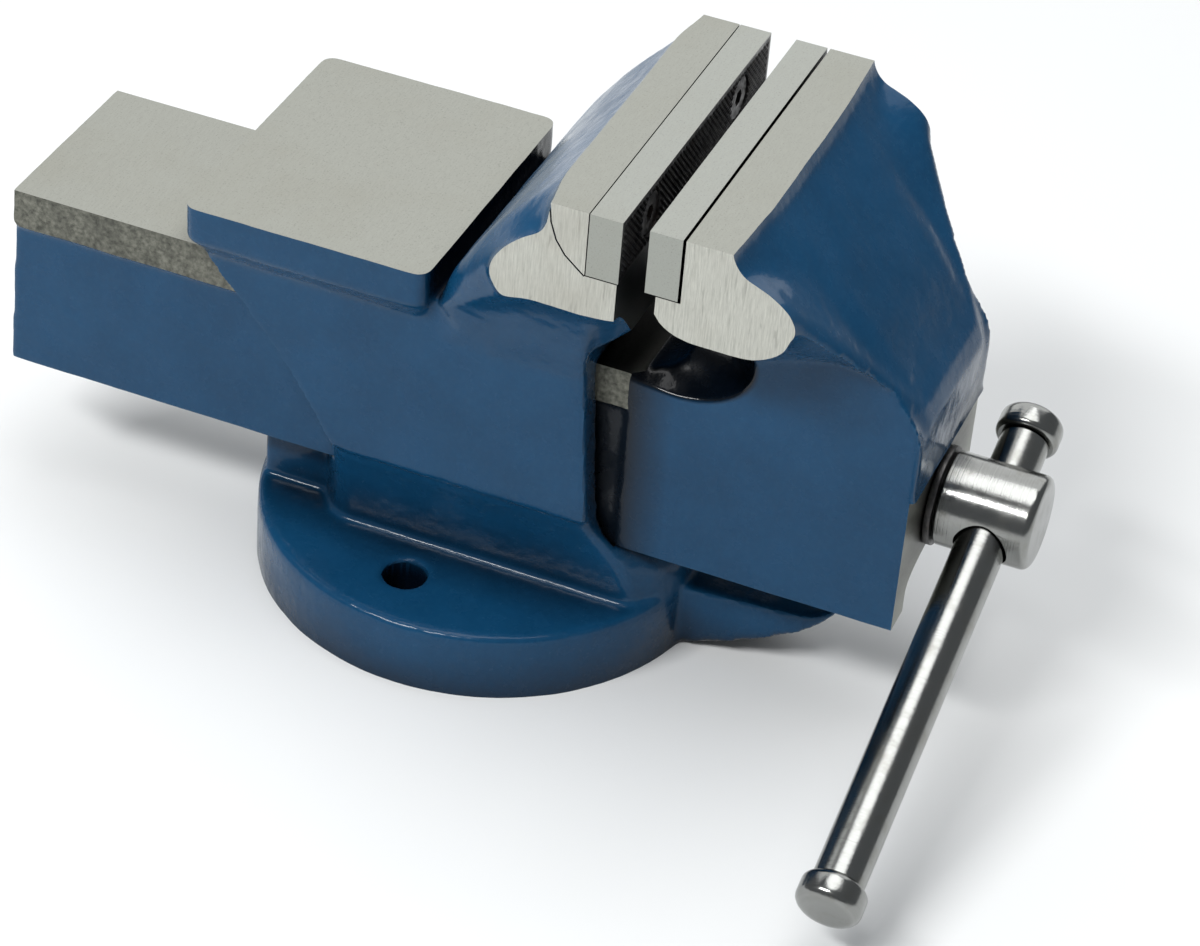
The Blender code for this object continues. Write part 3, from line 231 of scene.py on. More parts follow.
# ---- material helpers -------------------------------------------------------------------
class Surface:
    """A Principled material under construction, with short calls for the nodes used here."""

    def __init__(self, name, metallic, roughness, coat=0.0, coat_roughness=0.05):
        self.material = bpy.data.materials.new(name)
        self.material.use_nodes = True
        self.tree = self.material.node_tree
        self.shader = self.tree.nodes["Principled BSDF"]
        self.shader.inputs["Metallic"].default_value = metallic
        self.shader.inputs["Roughness"].default_value = roughness
        self.shader.inputs["Coat Weight"].default_value = coat
        self.shader.inputs["Coat Roughness"].default_value = coat_roughness
        self.place = self.tree.nodes.new("ShaderNodeTexCoord").outputs["Object"]

    def link(self, output, target):
        self.tree.links.new(output, target)

    def stretched(self, scale):
        mapping = self.tree.nodes.new("ShaderNodeMapping")
        mapping.inputs["Scale"].default_value = scale
        self.link(self.place, mapping.inputs["Vector"])
        return mapping.outputs["Vector"]

    def noise(self, scale, detail=3.0, roughness=0.6, stretch=(1.0, 1.0, 1.0), distortion=0.0):
        node = self.tree.nodes.new("ShaderNodeTexNoise")
        node.inputs["Scale"].default_value = scale
        node.inputs["Detail"].default_value = detail
        node.inputs["Roughness"].default_value = roughness
        node.inputs["Distortion"].default_value = distortion
        self.link(self.stretched(stretch), node.inputs["Vector"])
        return node.outputs["Fac"]

    def ramp(self, value, low, high, colour_low, colour_high):
        """Colour that goes from one to the other as value goes from low to high."""
        node = self.tree.nodes.new("ShaderNodeValToRGB")
        for element, place, colour in zip(node.color_ramp.elements, (low, high), (colour_low, colour_high)):
            element.position = place
            element.color = (*colour, 1.0)
        self.link(value, node.inputs["Fac"])
        return node.outputs["Color"]

    def level(self, value, low, high, start, end):
        """Number that goes from start to end as value goes from low to high."""
        node = self.tree.nodes.new("ShaderNodeMapRange")
        settings = (("From Min", low), ("From Max", high), ("To Min", start), ("To Max", end))
        for name, number in settings:
            node.inputs[name].default_value = number
        self.link(value, node.inputs["Value"])
        return node.outputs["Result"]

    def mixed(self, factor, first, second):
        node = self.tree.nodes.new("ShaderNodeMix")
        node.data_type = "RGBA"
        for name, value in (("Factor", factor), ("A", first), ("B", second)):
            sockets = [s for s in node.inputs if s.name == name and s.enabled]
            socket = sockets[0]
            if isinstance(value, tuple):
                socket.default_value = (*value, 1.0)
            elif isinstance(value, float):
                socket.default_value = value
            else:
                self.link(value, socket)
        return next(s for s in node.outputs if s.enabled)

    def pointed(self):
        return self.tree.nodes.new("ShaderNodeNewGeometry").outputs["Pointiness"]

    def band(self, start, end, fade_in, fade_out, strength=0.93):
        """High between two places along X, fading out past each end."""
        split = self.tree.nodes.new("ShaderNodeSeparateXYZ")
        self.link(self.place, split.inputs[0])
        rising = self.level(split.outputs["X"], start - fade_in, start, 0.0, strength)
        falling = self.level(split.outputs["X"], end, end + fade_out, 1.0, 0.0)
        both = self.tree.nodes.new("ShaderNodeMath")
        both.operation = "MULTIPLY"
        self.link(rising, both.inputs[0])
        self.link(falling, both.inputs[1])
        return both.outputs[0]

    def blob(self, centre, radii, strength=0.97):
        """High inside an ellipsoid and inside its mirror image across the XZ plane."""
        mirrored = self.tree.nodes.new("ShaderNodeVectorMath")
        mirrored.operation = "ABSOLUTE"
        self.link(self.place, mirrored.inputs[0])
        offset = self.tree.nodes.new("ShaderNodeVectorMath")
        offset.operation = "SUBTRACT"
        offset.inputs[1].default_value = centre
        self.link(mirrored.outputs["Vector"], offset.inputs[0])
        scaled = self.tree.nodes.new("ShaderNodeVectorMath")
        scaled.operation = "DIVIDE"
        scaled.inputs[1].default_value = radii
        self.link(offset.outputs["Vector"], scaled.inputs[0])
        length = self.tree.nodes.new("ShaderNodeVectorMath")
        length.operation = "LENGTH"
        self.link(scaled.outputs["Vector"], length.inputs[0])
        return self.level(length.outputs["Value"], 1.01, 1.07, strength, 0.0)

    def openness(self, distance):
        """One on open faces, falling towards zero in recesses narrower than the distance."""
        recess = self.tree.nodes.new("ShaderNodeAmbientOcclusion")
        recess.inputs["Distance"].default_value = distance
        recess.samples = 8
        return recess.outputs["AO"]

    def colour(self, output):
        self.link(output, self.shader.inputs["Base Color"])

    def roughness(self, output):
        self.link(output, self.shader.inputs["Roughness"])

    def bumps(self, *layers):
        """Bump layers as (height, strength, distance)."""
        normal = None
        for height, strength, distance in layers:
            node = self.tree.nodes.new("ShaderNodeBump")
            node.inputs["Strength"].default_value = strength
            node.inputs["Distance"].default_value = distance
            self.link(height, node.inputs["Height"])
            if normal:
                self.link(normal, node.inputs["Normal"])
            normal = node.outputs["Normal"]
        self.link(normal, self.shader.inputs["Normal"])
        for coat in [s for s in self.shader.inputs if s.name == "Coat Normal"]:
            self.link(normal, coat)
        return self.material


def blue_enamel(name="blue_enamel", shade_band_span=None):
    """Glossy stoved enamel over a cast skin: orange peel, lighter edges that are partly thin paint and partly a
    painted highlight, and painted shade darkening recesses; the optional span adds a painted shade band along X
    and in the hollows under the moving jaw's ends.
    """
    surface = Surface(name, 0.0, 0.25, coat=0.20, coat_roughness=0.04)
    surface.shader.inputs["Specular IOR Level"].default_value = 0.16
    patches = surface.noise(38.0, 4.0)
    fine = surface.noise(900.0, 2.0)
    base = surface.ramp(patches, 0.3, 0.7, (0.0036, 0.043, 0.105), (0.0054, 0.056, 0.134))
    dusty = surface.mixed(surface.level(fine, 0.45, 0.80, 0.0, 0.22), base, (0.018, 0.092, 0.180))
    # lighter blue on sharp edges: partly thin enamel worn at the edges, partly a painted highlight along them
    edges = surface.level(surface.pointed(), 0.53, 0.60, 0.0, 0.45)
    worn_and_lit_edges = surface.mixed(edges, dusty, (0.035, 0.125, 0.225))
    # painted shade: the enamel goes to near black in recesses and under overhangs, where shadow falls
    enamel_recess_shade = surface.level(surface.openness(0.022), 0.34, 0.86, 0.98, 0.0)
    enamel_with_painted_shade = surface.mixed(enamel_recess_shade, worn_and_lit_edges, (0.0010, 0.0022, 0.0055))
    if shade_band_span:
        # painted shade: a dark band along X where the slide runs into the body, standing for the shadow in that
        # gap
        enamel_with_painted_shade = surface.mixed(surface.band(*shade_band_span), enamel_with_painted_shade, (0.0030, 0.0036, 0.0046))
        # painted shade: near black inside the hollows under the moving jaw's overhanging ends
        enamel_with_painted_shade = surface.mixed(surface.blob(HOLLOW_CENTRE, HOLLOW_RADII), enamel_with_painted_shade, (0.0012, 0.0018, 0.0032))
    surface.colour(enamel_with_painted_shade)
    surface.roughness(surface.level(surface.noise(120.0, 4.0), 0.3, 0.7, 0.16, 0.34))
    return surface.bumps((surface.noise(260.0, 3.0), 0.25, 0.0004), (fine, 0.10, 0.0002))


def ground_surface(name, stretch, tone, speckle, roughness=(0.30, 0.44)):
    """Machined cast iron or steel: marks along one direction, faint stains and open pores, with painted shade
    darkening recesses.
    """
    surface = Surface(name, 1.0, 0.4)
    marks = surface.noise(1.0, 3.0, 0.7, stretch)
    stains = surface.noise(26.0, 5.0, 0.6)
    pores = surface.noise(2100.0, 1.0)
    low = tuple(c * (1.0 - speckle) for c in tone)
    high = tuple(min(c * (1.0 + speckle), 1.0) for c in tone)
    grained = surface.ramp(marks, 0.25, 0.75, low, high)
    stained = surface.mixed(surface.level(stains, 0.48, 0.75, 0.0, 0.22), grained,
                            tuple(c * f for c, f in zip(tone, (0.78, 0.72, 0.62))))
    speck = surface.mixed(surface.level(pores, 0.60, 0.74, 0.0, 0.40), stained,
                          tuple(c * 0.5 for c in tone))
    # painted shade: machined faces go towards black in recesses and in the throat, where shadow falls
    metal_recess_shade = surface.level(surface.openness(0.020), 0.34, 0.84, 0.98, 0.0)
    surface.colour(surface.mixed(metal_recess_shade, speck, (0.004, 0.004, 0.004)))
    surface.roughness(surface.level(marks, 0.2, 0.8, *roughness))
    return surface.bumps((marks, 0.20, 0.0002), (pores, 0.20, 0.0001))


def slide_strip():
    """Guide strip of the slide: oiled, dark, dull grey-olive with a coarse grain."""
    surface = Surface("slide_strip", 0.55, 0.55)
    grain = surface.noise(700.0, 4.0, 0.7)
    blotches = surface.noise(90.0, 5.0, 0.65)
    base = surface.ramp(grain, 0.30, 0.72, (0.050, 0.052, 0.042), (0.24, 0.24, 0.20))
    surface.colour(surface.mixed(surface.level(blotches, 0.45, 0.7, 0.0, 0.6), base, (0.055, 0.057, 0.050)))
    surface.roughness(surface.level(blotches, 0.3, 0.7, 0.42, 0.7))
    wear = surface.noise(1.0, 2.0, 0.6, (60.0, 4000.0, 2600.0))
    return surface.bumps((grain, 0.5, 0.0003), (wear, 0.2, 0.0002))


def scratched_face():
    """Machined jaw ends: mill marks one way, loose scratches the other."""
    surface = Surface("scratched_iron", 1.0, 0.4)
    marks = surface.noise(1.0, 3.0, 0.75, (2600.0, 900.0, 150.0))
    scratches = surface.noise(1.0, 2.0, 0.5, (900.0, 300.0, 110.0), distortion=0.6)
    stains = surface.noise(55.0, 5.0, 0.6)
    base = surface.ramp(marks, 0.25, 0.75, (0.36, 0.36, 0.325), (0.66, 0.66, 0.60))
    scored = surface.mixed(surface.level(scratches, 0.62, 0.72, 0.0, 0.5), base, (0.27, 0.265, 0.24))
    surface.colour(surface.mixed(surface.level(stains, 0.45, 0.75, 0.0, 0.4), scored, (0.37, 0.35, 0.30)))
    surface.roughness(surface.level(marks, 0.2, 0.8, 0.32, 0.52))
    return surface.bumps((marks, 0.2, 0.0002), (scratches, 0.4, 0.0002))


def turned_steel(name, axis, tone=(0.30, 0.305, 0.295), roughness=(0.12, 0.25)):
    """Bright turned steel: fine rings across the given axis, with light handling marks."""
    surface = Surface(name, 1.0, 0.2)
    axis = Vector(axis).normalized()
    node = surface.tree.nodes.new("ShaderNodeVectorMath")
    node.operation = "DOT_PRODUCT"
    node.inputs[1].default_value = axis
    surface.link(surface.place, node.inputs[0])
    place = surface.tree.nodes.new("ShaderNodeCombineXYZ")
    surface.link(node.outputs["Value"], place.inputs["X"])
    rings = surface.tree.nodes.new("ShaderNodeTexNoise")
    rings.inputs["Scale"].default_value = 2600.0
    rings.inputs["Detail"].default_value = 3.0
    surface.link(place.outputs["Vector"], rings.inputs["Vector"])
    rings = rings.outputs["Fac"]
    smears = surface.noise(160.0, 4.0, 0.65)
    nicks = surface.noise(1500.0, 2.0)
    base = surface.ramp(rings, 0.3, 0.7, tuple(c * 0.86 for c in tone), tone)
    surface.colour(surface.mixed(surface.level(smears, 0.5, 0.75, 0.0, 0.45), base,
                                 tuple(c * f for c, f in zip(tone, (0.62, 0.58, 0.5)))))
    surface.roughness(surface.level(smears, 0.3, 0.7, *roughness))
    return surface.bumps((rings, 0.25, 0.0002), (nicks, 0.08, 0.0002))


def dark_steel():
    surface = Surface("dark_steel", 1.0, 0.4)
    base = surface.ramp(surface.noise(300.0, 4.0), 0.3, 0.75, (0.045, 0.045, 0.048), (0.16, 0.155, 0.15))
    rust = surface.level(surface.noise(90.0, 5.0, 0.7), 0.58, 0.72, 0.0, 0.35)
    surface.colour(surface.mixed(rust, base, (0.13, 0.075, 0.045)))
    surface.roughness(surface.level(surface.noise(420.0), 0.3, 0.7, 0.30, 0.55))
    return surface.bumps((surface.noise(1300.0, 2.0), 0.25, 0.0002))


def nut_iron():
    surface = Surface("nut_iron", 0.85, 0.5)
    grain = surface.noise(1000.0, 3.0)
    base = surface.ramp(grain, 0.3, 0.7, (0.13, 0.125, 0.12), (0.26, 0.25, 0.235))
    surface.colour(surface.mixed(surface.level(surface.noise(60.0, 5.0), 0.5, 0.7, 0.0, 0.5), base,
                                 (0.10, 0.085, 0.065)))
    surface.roughness(surface.level(grain, 0.3, 0.7, 0.4, 0.62))
    return surface.bumps((grain, 0.4, 0.0003))


# ---- castings ---------------------------------------------------------------------------
def stock_left_on(shape, planes):
    """Moves the vertices of the machined planes outward, to be machined off again later."""
    for vertex in shape.verts:
        place = vertex.co.copy()
        for axis, value, amount, inside in planes:
            if abs(place[axis] - value) < 2e-5 and inside(place):
                vertex.co[axis] += amount


def cast(name, node, planes, materials, hollows=(), split_x=None):
    """Casting with rounded edges and a faintly uneven skin, grown from a CAD node's copy."""
    shape = bmesh.new()
    shape.from_mesh(NODES[node].data)
    bmesh.ops.remove_doubles(shape, verts=shape.verts, dist=4e-6)
    if split_x is not None:
        bmesh.ops.bisect_plane(shape, geom=shape.verts[:] + shape.edges[:] + shape.faces[:],
                               plane_co=(split_x, 0.0, 0.0), plane_no=(1.0, 0.0, 0.0))
    stock_left_on(shape, planes)
    piece = new_object(name, shape, materials)
    for hollow in hollows:
        cut(piece, hollow)
    remesh = piece.modifiers.new("skin", "REMESH")
    remesh.mode = "VOXEL"
    remesh.voxel_size = VOXEL
    fillets = piece.modifiers.new("fillets", "SMOOTH")
    fillets.factor = 0.5
    fillets.iterations = FILLET_STEPS
    bake_modifiers(piece)
    mesh = piece.data
    count = len(mesh.vertices)
    points = np.zeros(count * 3)
    normals = np.zeros(count * 3)
    mesh.vertices.foreach_get("co", points)
    mesh.vertices.foreach_get("normal", normals)
    points = points.reshape(-1, 3)
    heights = np.array([LUMP_HEIGHT * noise.noise(Vector(point) * LUMP_SCALE)
                        + GRAIN_HEIGHT * noise.noise(Vector(point) * GRAIN_SCALE) for point in points])
    points += normals.reshape(-1, 3) * heights[:, None]
    mesh.vertices.foreach_set("co", points.ravel())
    return piece


def machine_finish(piece, faces, degrees=28):
    """Gives each face on a machined plane its bare-metal slot: (axis, value, slot, inside)."""
    mesh = piece.data
    count = len(mesh.polygons)
    centres = np.zeros(count * 3)
    normals = np.zeros(count * 3)
    mesh.polygons.foreach_get("center", centres)
    mesh.polygons.foreach_get("normal", normals)
    centres = centres.reshape(-1, 3)
    normals = normals.reshape(-1, 3)
    slots = np.zeros(count, dtype=np.int32)
    for axis, value, slot, inside in faces:
        on_plane = (np.abs(centres[:, axis] - value) < ON_PLANE) & (np.abs(normals[:, axis]) > 0.99)
        slots[on_plane & inside(centres.T)] = slot
    mesh.polygons.foreach_set("material_index", slots)
    smooth_with_sharp_edges(piece, degrees)


def above(axis, value):
    return lambda place: place[axis] > value


def below(axis, value):
    return lambda place: place[axis] < value


def hole_shape(places, profile, axis, sides=64):
    shape = bmesh.new()
    for place in places:
        part = lathe_shape(profile, place, axis, sides)
        mesh = bpy.data.meshes.new("hole")
        part.to_mesh(mesh)
        part.free()
        shape.from_mesh(mesh)
        bpy.data.meshes.remove(mesh)
    return shape


def plate_screw_holes(seat_x, outward):
    middle_z = (JAW_TOP_Z + PLATE_BOTTOM_Z) / 2
    places = [(seat_x + outward * 0.002, side * PLATE_SCREW_Y, middle_z) for side in (-1, 1)]
    profile = [(0.0, PLATE_SCREW_HOLE_RADIUS), (PLATE_SCREW_HOLE_DEPTH, PLATE_SCREW_HOLE_RADIUS)]
    return hole_shape(places, profile, (-outward, 0.0, 0.0), 32)


def step_groove(side):
    """Thin curved line in a machined end of the fixed jaw, from its top rear corner to below the plate."""
    corner = Vector((FIXED_PLATE_HIGH.x - 0.0184, side * JAW_END_Y, JAW_TOP_Z))
    points = [(-0.0004, 0.0004), (0.0003, -0.0052), (0.0019, -0.0098), (0.0044, -0.0134),
              (0.0075, -0.0160), (0.0097, -0.0178)]
    shape = bmesh.new()
    rings = []
    for index, (x, z) in enumerate(points):
        before = points[max(index - 1, 0)]
        after = points[min(index + 1, len(points) - 1)]
        along_line = Vector((after[0] - before[0], 0.0, after[1] - before[1])).normalized()
        across = Vector((along_line.z, 0.0, -along_line.x))
        centre = corner + Vector((x, 0.0, z))
        sideways, depth = across * STEP_LINE_HALF_WIDTH, Vector((0.0, side * STEP_LINE_DEPTH, 0.0))
        rings.append([shape.verts.new(centre + offset) for offset in
                      (sideways - depth, sideways + depth, -sideways + depth, -sideways - depth)])
    for first, second in zip(rings, rings[1:]):
        for index in range(4):
            after = (index + 1) % 4
            shape.faces.new((first[index], first[after], second[after], second[index]))
    shape.faces.new(rings[0])
    shape.faces.new(rings[-1])
    bmesh.ops.recalc_face_normals(shape, faces=shape.faces)
    return shape


def build_body(materials):
    jaw_x = FIXED_PLATE_HIGH.x - PLATE_PROUD_FIXED
    seat_x = FIXED_PLATE_LOW.x - PLATE_GAP_FIXED
    ledge_z = min(v.co.z for v in NODES["body_casting"].data.vertices
                  if abs(v.co.x - seat_x) < 1e-5 and v.co.z > ANVIL_TOP_Z)
    channel_y = RAM_HALF_WIDTH + CHANNEL_CLEARANCE
    floor_z = RAM_BOTTOM_Z - CHANNEL_CLEARANCE
    roof_z = RAM_TOP_Z + CHANNEL_CLEARANCE
    high = above(2, ANVIL_TOP_Z + 0.004)
    planes = [
        (2, ANVIL_TOP_Z, STOCK, below(0, ANVIL_FRONT_X + 0.003)), (2, JAW_TOP_Z, STOCK, high),
        (1, JAW_END_Y, STOCK, high), (1, -JAW_END_Y, -STOCK, high),
        (0, jaw_x, STOCK, above(2, ANVIL_TOP_Z)), (0, seat_x, STOCK, high), (2, 0.0, -STOCK, low_down),
    ]
    piece = cast("vise_body", "body_casting", planes, materials)
    cut(piece, box_shape((-FAR, -FAR, ANVIL_TOP_Z), (ANVIL_FRONT_X + 0.0004, FAR, FAR)))
    cut(piece, box_shape((-FAR, -FAR, JAW_TOP_Z), (FAR, FAR, FAR)))
    for side in (-1, 1):
        near, far = sorted((side * JAW_END_Y, side * FAR))
        cut(piece, box_shape((-FAR / 2, near, BASE_TOP_Z + 0.06), (FAR, far, FAR)))
    cut(piece, box_shape((jaw_x, -FAR, roof_z + 0.002), (FAR, FAR, FAR)))
    cut(piece, box_shape((seat_x, -FAR, ledge_z), (FAR, FAR, FAR)))
    cut(piece, box_shape((-FAR, -FAR, -FAR), (FAR, FAR, 0.0)))
    cut(piece, box_shape((-FAR, -channel_y, floor_z), (FAR, channel_y, roof_z)))
    up = (0.0, 0.0, 1.0)
    bolt_places = [(BOLT_HOLE_X, side * BOLT_HOLE_Y, 0.0) for side in (-1, 1)]
    edge = 0.0006
    cut(piece, hole_shape(bolt_places, [(-0.01, BOLT_HOLE_RADIUS), (BASE_TOP_Z - edge, BOLT_HOLE_RADIUS),
                                        (BASE_TOP_Z + 0.004, BOLT_HOLE_RADIUS + 0.0046)], up))
    nut_places = [(side * NUT_BOLT_X, 0.0, 0.0) for side in (-1, 1)]
    cut(piece, hole_shape(nut_places, [(-0.01, COUNTERBORE_RADIUS), (COUNTERBORE_DEPTH, COUNTERBORE_RADIUS),
                                       (COUNTERBORE_DEPTH, NUT_BOLT_HOLE_RADIUS),
                                       (floor_z + 0.01, NUT_BOLT_HOLE_RADIUS)], up))
    cut(piece, plate_screw_holes(seat_x, 1))
    for side in (-1, 1):
        cut(piece, step_groove(side), "EXACT")
    ground, ends = 1, 2
    machine_finish(piece, [
        (2, ANVIL_TOP_Z, ground, high_enough), (2, JAW_TOP_Z, ground, high_enough),
        (1, JAW_END_Y, ends, high_enough), (1, -JAW_END_Y, ends, high_enough),
        (0, seat_x, ground, high_enough), (2, ledge_z, ground, high_enough), (0, jaw_x, ground, high_enough),
        (1, channel_y, ground, in_channel), (1, -channel_y, ground, in_channel),
        (2, roof_z, ground, in_channel), (2, floor_z, ground, in_channel),
        (2, 0.0, ground, low_down),
    ])
    stand_for(piece, "body", "blue_enamel", "body_casting")
    return piece


def high_enough(place):
    return place[2] > BASE_TOP_Z + 0.06


def anywhere(place):
    return place[2] > -FAR


def low_down(place):
    return place[2] < 0.001


def in_channel(place):
    return (place[2] > RAM_BOTTOM_Z - 0.001) & (place[2] < RAM_TOP_Z + 0.001)


def lobe_hollow(side):
    """Scooped hollow between the wall of the slide and the overhanging end of the moving jaw."""
    shape = bmesh.new()
    bmesh.ops.create_uvsphere(shape, u_segments=48, v_segments=32, radius=1.0)
    centre = Vector(HOLLOW_CENTRE) * Vector((1.0, side, 1.0))
    for vertex in shape.verts:
        vertex.co = centre + Vector(vertex.co[i] * HOLLOW_RADII[i] for i in range(3))
    return shape


def build_moving_jaw(materials):
    back_x = MOVING_PLATE_LOW.x + PLATE_PROUD_MOVING
    seat_x = MOVING_PLATE_HIGH.x + PLATE_GAP_MOVING
    ledge_z = min(v.co.z for v in NODES["moving_jaw_casting"].data.vertices
                  if abs(v.co.x - seat_x) < 1e-5 and v.co.z > ANVIL_TOP_Z)
    strip_end_x = FIXED_PLATE_HIGH.x - 0.0020
    split_x = strip_end_x - 0.0015
    top_end_x = back_x - 0.0090
    planes = [
        (2, JAW_TOP_Z, STOCK, above(2, ANVIL_TOP_Z)),
        (1, JAW_END_Y, STOCK, above(2, ANVIL_TOP_Z)), (1, -JAW_END_Y, -STOCK, above(2, ANVIL_TOP_Z)),
        (0, seat_x, -STOCK, above(2, ANVIL_TOP_Z)), (0, back_x, -STOCK, above(2, ANVIL_TOP_Z)),
        (2, RAM_TOP_Z, STOCK, below(0, split_x + 0.0005)), (2, RAM_BOTTOM_Z, -STOCK / 2, below(0, FAR)),
        (1, RAM_HALF_WIDTH, STOCK / 2, below(0, split_x + 0.0005)),
        (1, -RAM_HALF_WIDTH, -STOCK / 2, below(0, split_x + 0.0005)),
        (0, FRONT_FACE_X, STOCK / 2, below(2, FRONT_LIP_Z + 0.0005)),
    ]
    piece = cast("moving_jaw", "moving_jaw_casting", planes, materials,
                 [lobe_hollow(side) for side in (-1, 1)], split_x)
    cut(piece, box_shape((-FAR, -FAR, JAW_TOP_Z), (FAR, FAR, FAR)))
    for side in (-1, 1):
        near, far = sorted((side * JAW_END_Y, side * FAR))
        cut(piece, box_shape((-FAR, near, -FAR), (FAR, far, FAR)))
        near, far = sorted((side * RAM_HALF_WIDTH, side * FAR))
        cut(piece, box_shape((-FAR, near, -FAR), (strip_end_x, far, FAR)))
    cut(piece, box_shape((-FAR, -FAR, RAM_TOP_Z), (top_end_x, FAR, FAR)))
    cut(piece, box_shape((-FAR, -FAR, RAM_TOP_Z + 0.03), (back_x, FAR, FAR)))
    cut(piece, box_shape((-FAR, -FAR, ledge_z), (seat_x, FAR, FAR)))
    cut(piece, box_shape((-FAR, -FAR, -FAR), (FAR, FAR, RAM_BOTTOM_Z)))
    cut(piece, box_shape((FRONT_FACE_X, -FAR, -FAR), (FAR, FAR, FRONT_LIP_Z)))
    cut(piece, hole_shape([(FRONT_FACE_X - 0.03, 0.0, SPINDLE_Z)], [(0.0, BORE_RADIUS), (0.06, BORE_RADIUS)],
                          SPINDLE_AXIS))
    cut(piece, plate_screw_holes(seat_x, -1))
    ground, ends, strip = 1, 2, 3
    machine_finish(piece, [
        (2, JAW_TOP_Z, ground, anywhere), (2, RAM_TOP_Z, ground, below(0, PAINT_START_X)),
        (1, JAW_END_Y, ends, anywhere), (1, -JAW_END_Y, ends, anywhere),
        (1, RAM_HALF_WIDTH, strip, below(0, strip_end_x)), (1, -RAM_HALF_WIDTH, strip, below(0, strip_end_x)),
        (0, seat_x, ground, anywhere), (2, ledge_z, ground, anywhere), (0, back_x, ground, anywhere),
        (2, RAM_BOTTOM_Z, ground, anywhere), (0, FRONT_FACE_X, ground, anywhere),
    ])
    stand_for(piece, "moving_jaw", "blue_enamel", "moving_jaw_casting")
    return piece


# ---- jaw plates -------------------------------------------------------------------------
def build_plate(name, node, outward, material, grip_oxide_and_shade_material):
    """Hardened plate with a cross-cut gripping face and two countersunk holes; the gripping face takes a dark
    steel that stands partly for black oxide and partly for painted shade in the throat.
    """
    low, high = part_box(node)
    grip_x = high.x if outward > 0 else low.x
    back_x = low.x if outward > 0 else high.x
    columns, rows = 400, 70
    shape = bmesh.new()

    def groove(y, z):
        inset = min(y - low.y, high.y - y, z - low.z, high.z - z)
        if inset < GRIP_EDGE:
            return 0.0
        lines = []
        for direction in (1, -1):
            share = ((y + direction * z) / GRIP_PITCH) % 1.0
            lines.append(max(0.0, 1 - abs(share - 0.5) / 0.28))
        return GRIP_DEPTH * min(1.0, max(lines)) * min(1.0, (inset - GRIP_EDGE) / 0.0005)

    grid = []
    for column in range(columns + 1):
        y = low.y + (high.y - low.y) * column / columns
        line = []
        for row in range(rows + 1):
            z = low.z + (high.z - low.z) * row / rows
            line.append(shape.verts.new((grip_x - outward * groove(y, z), y, z)))
        grid.append(line)
    for column in range(columns):
        for row in range(rows):
            shape.faces.new((grid[column][row], grid[column + 1][row],
                             grid[column + 1][row + 1], grid[column][row + 1]))
    rim = [grid[i][0] for i in range(columns)] + [grid[columns][i] for i in range(rows)]
    rim += [grid[i][rows] for i in range(columns, 0, -1)] + [grid[0][i] for i in range(rows, 0, -1)]
    back = [shape.verts.new((back_x, vertex.co.y, vertex.co.z)) for vertex in rim]
    for index in range(len(rim)):
        after = (index + 1) % len(rim)
        shape.faces.new((rim[index], rim[after], back[after], back[index]))
    shape.faces.new(back)
    bmesh.ops.recalc_face_normals(shape, faces=shape.faces)
    piece = new_object(name, shape, [material, grip_oxide_and_shade_material])
    head, shank = PLATE_SCREW_HEAD_RADIUS, PLATE_SCREW_HOLE_RADIUS
    centre_z = (low.z + high.z) / 2
    places = [(grip_x, side * PLATE_SCREW_Y, centre_z) for side in (-1, 1)]
    profile = [(-0.004, head), (0.0009, head), (0.0041, shank), (0.012, shank)]
    cut(piece, hole_shape(places, profile, (-outward, 0.0, 0.0)), "EXACT")
    border = GRIP_EDGE / 2
    for face in piece.data.polygons:
        centre = face.center
        inside = abs(centre.y) < high.y - border and low.z + border < centre.z < high.z - border
        # gripping face: dark steel, partly black oxide and partly painted shade of the narrow throat between the
        # jaws
        face.material_index = 1 if inside and abs(centre.x - grip_x) < GRIP_DEPTH * 1.1 else 0
    smooth_with_sharp_edges(piece, 20)
    return piece


# ---- spindle group ----------------------------------------------------------------------
def thread_radius(x, angle, crest, root, start, end):
    """Radius of a trapezoidal right-hand thread, fading out over a turn at each end."""
    share = (x / THREAD_PITCH - angle / (2 * math.pi)) % 1.0
    rise = min(1.0, max(0.0, (abs(share - 0.5) * 2 - 0.36) / 0.26))
    fade = min(1.0, max(0.0, min(x - start, end - x) / THREAD_PITCH))
    return crest - (crest - root) * (1 - rise) * fade


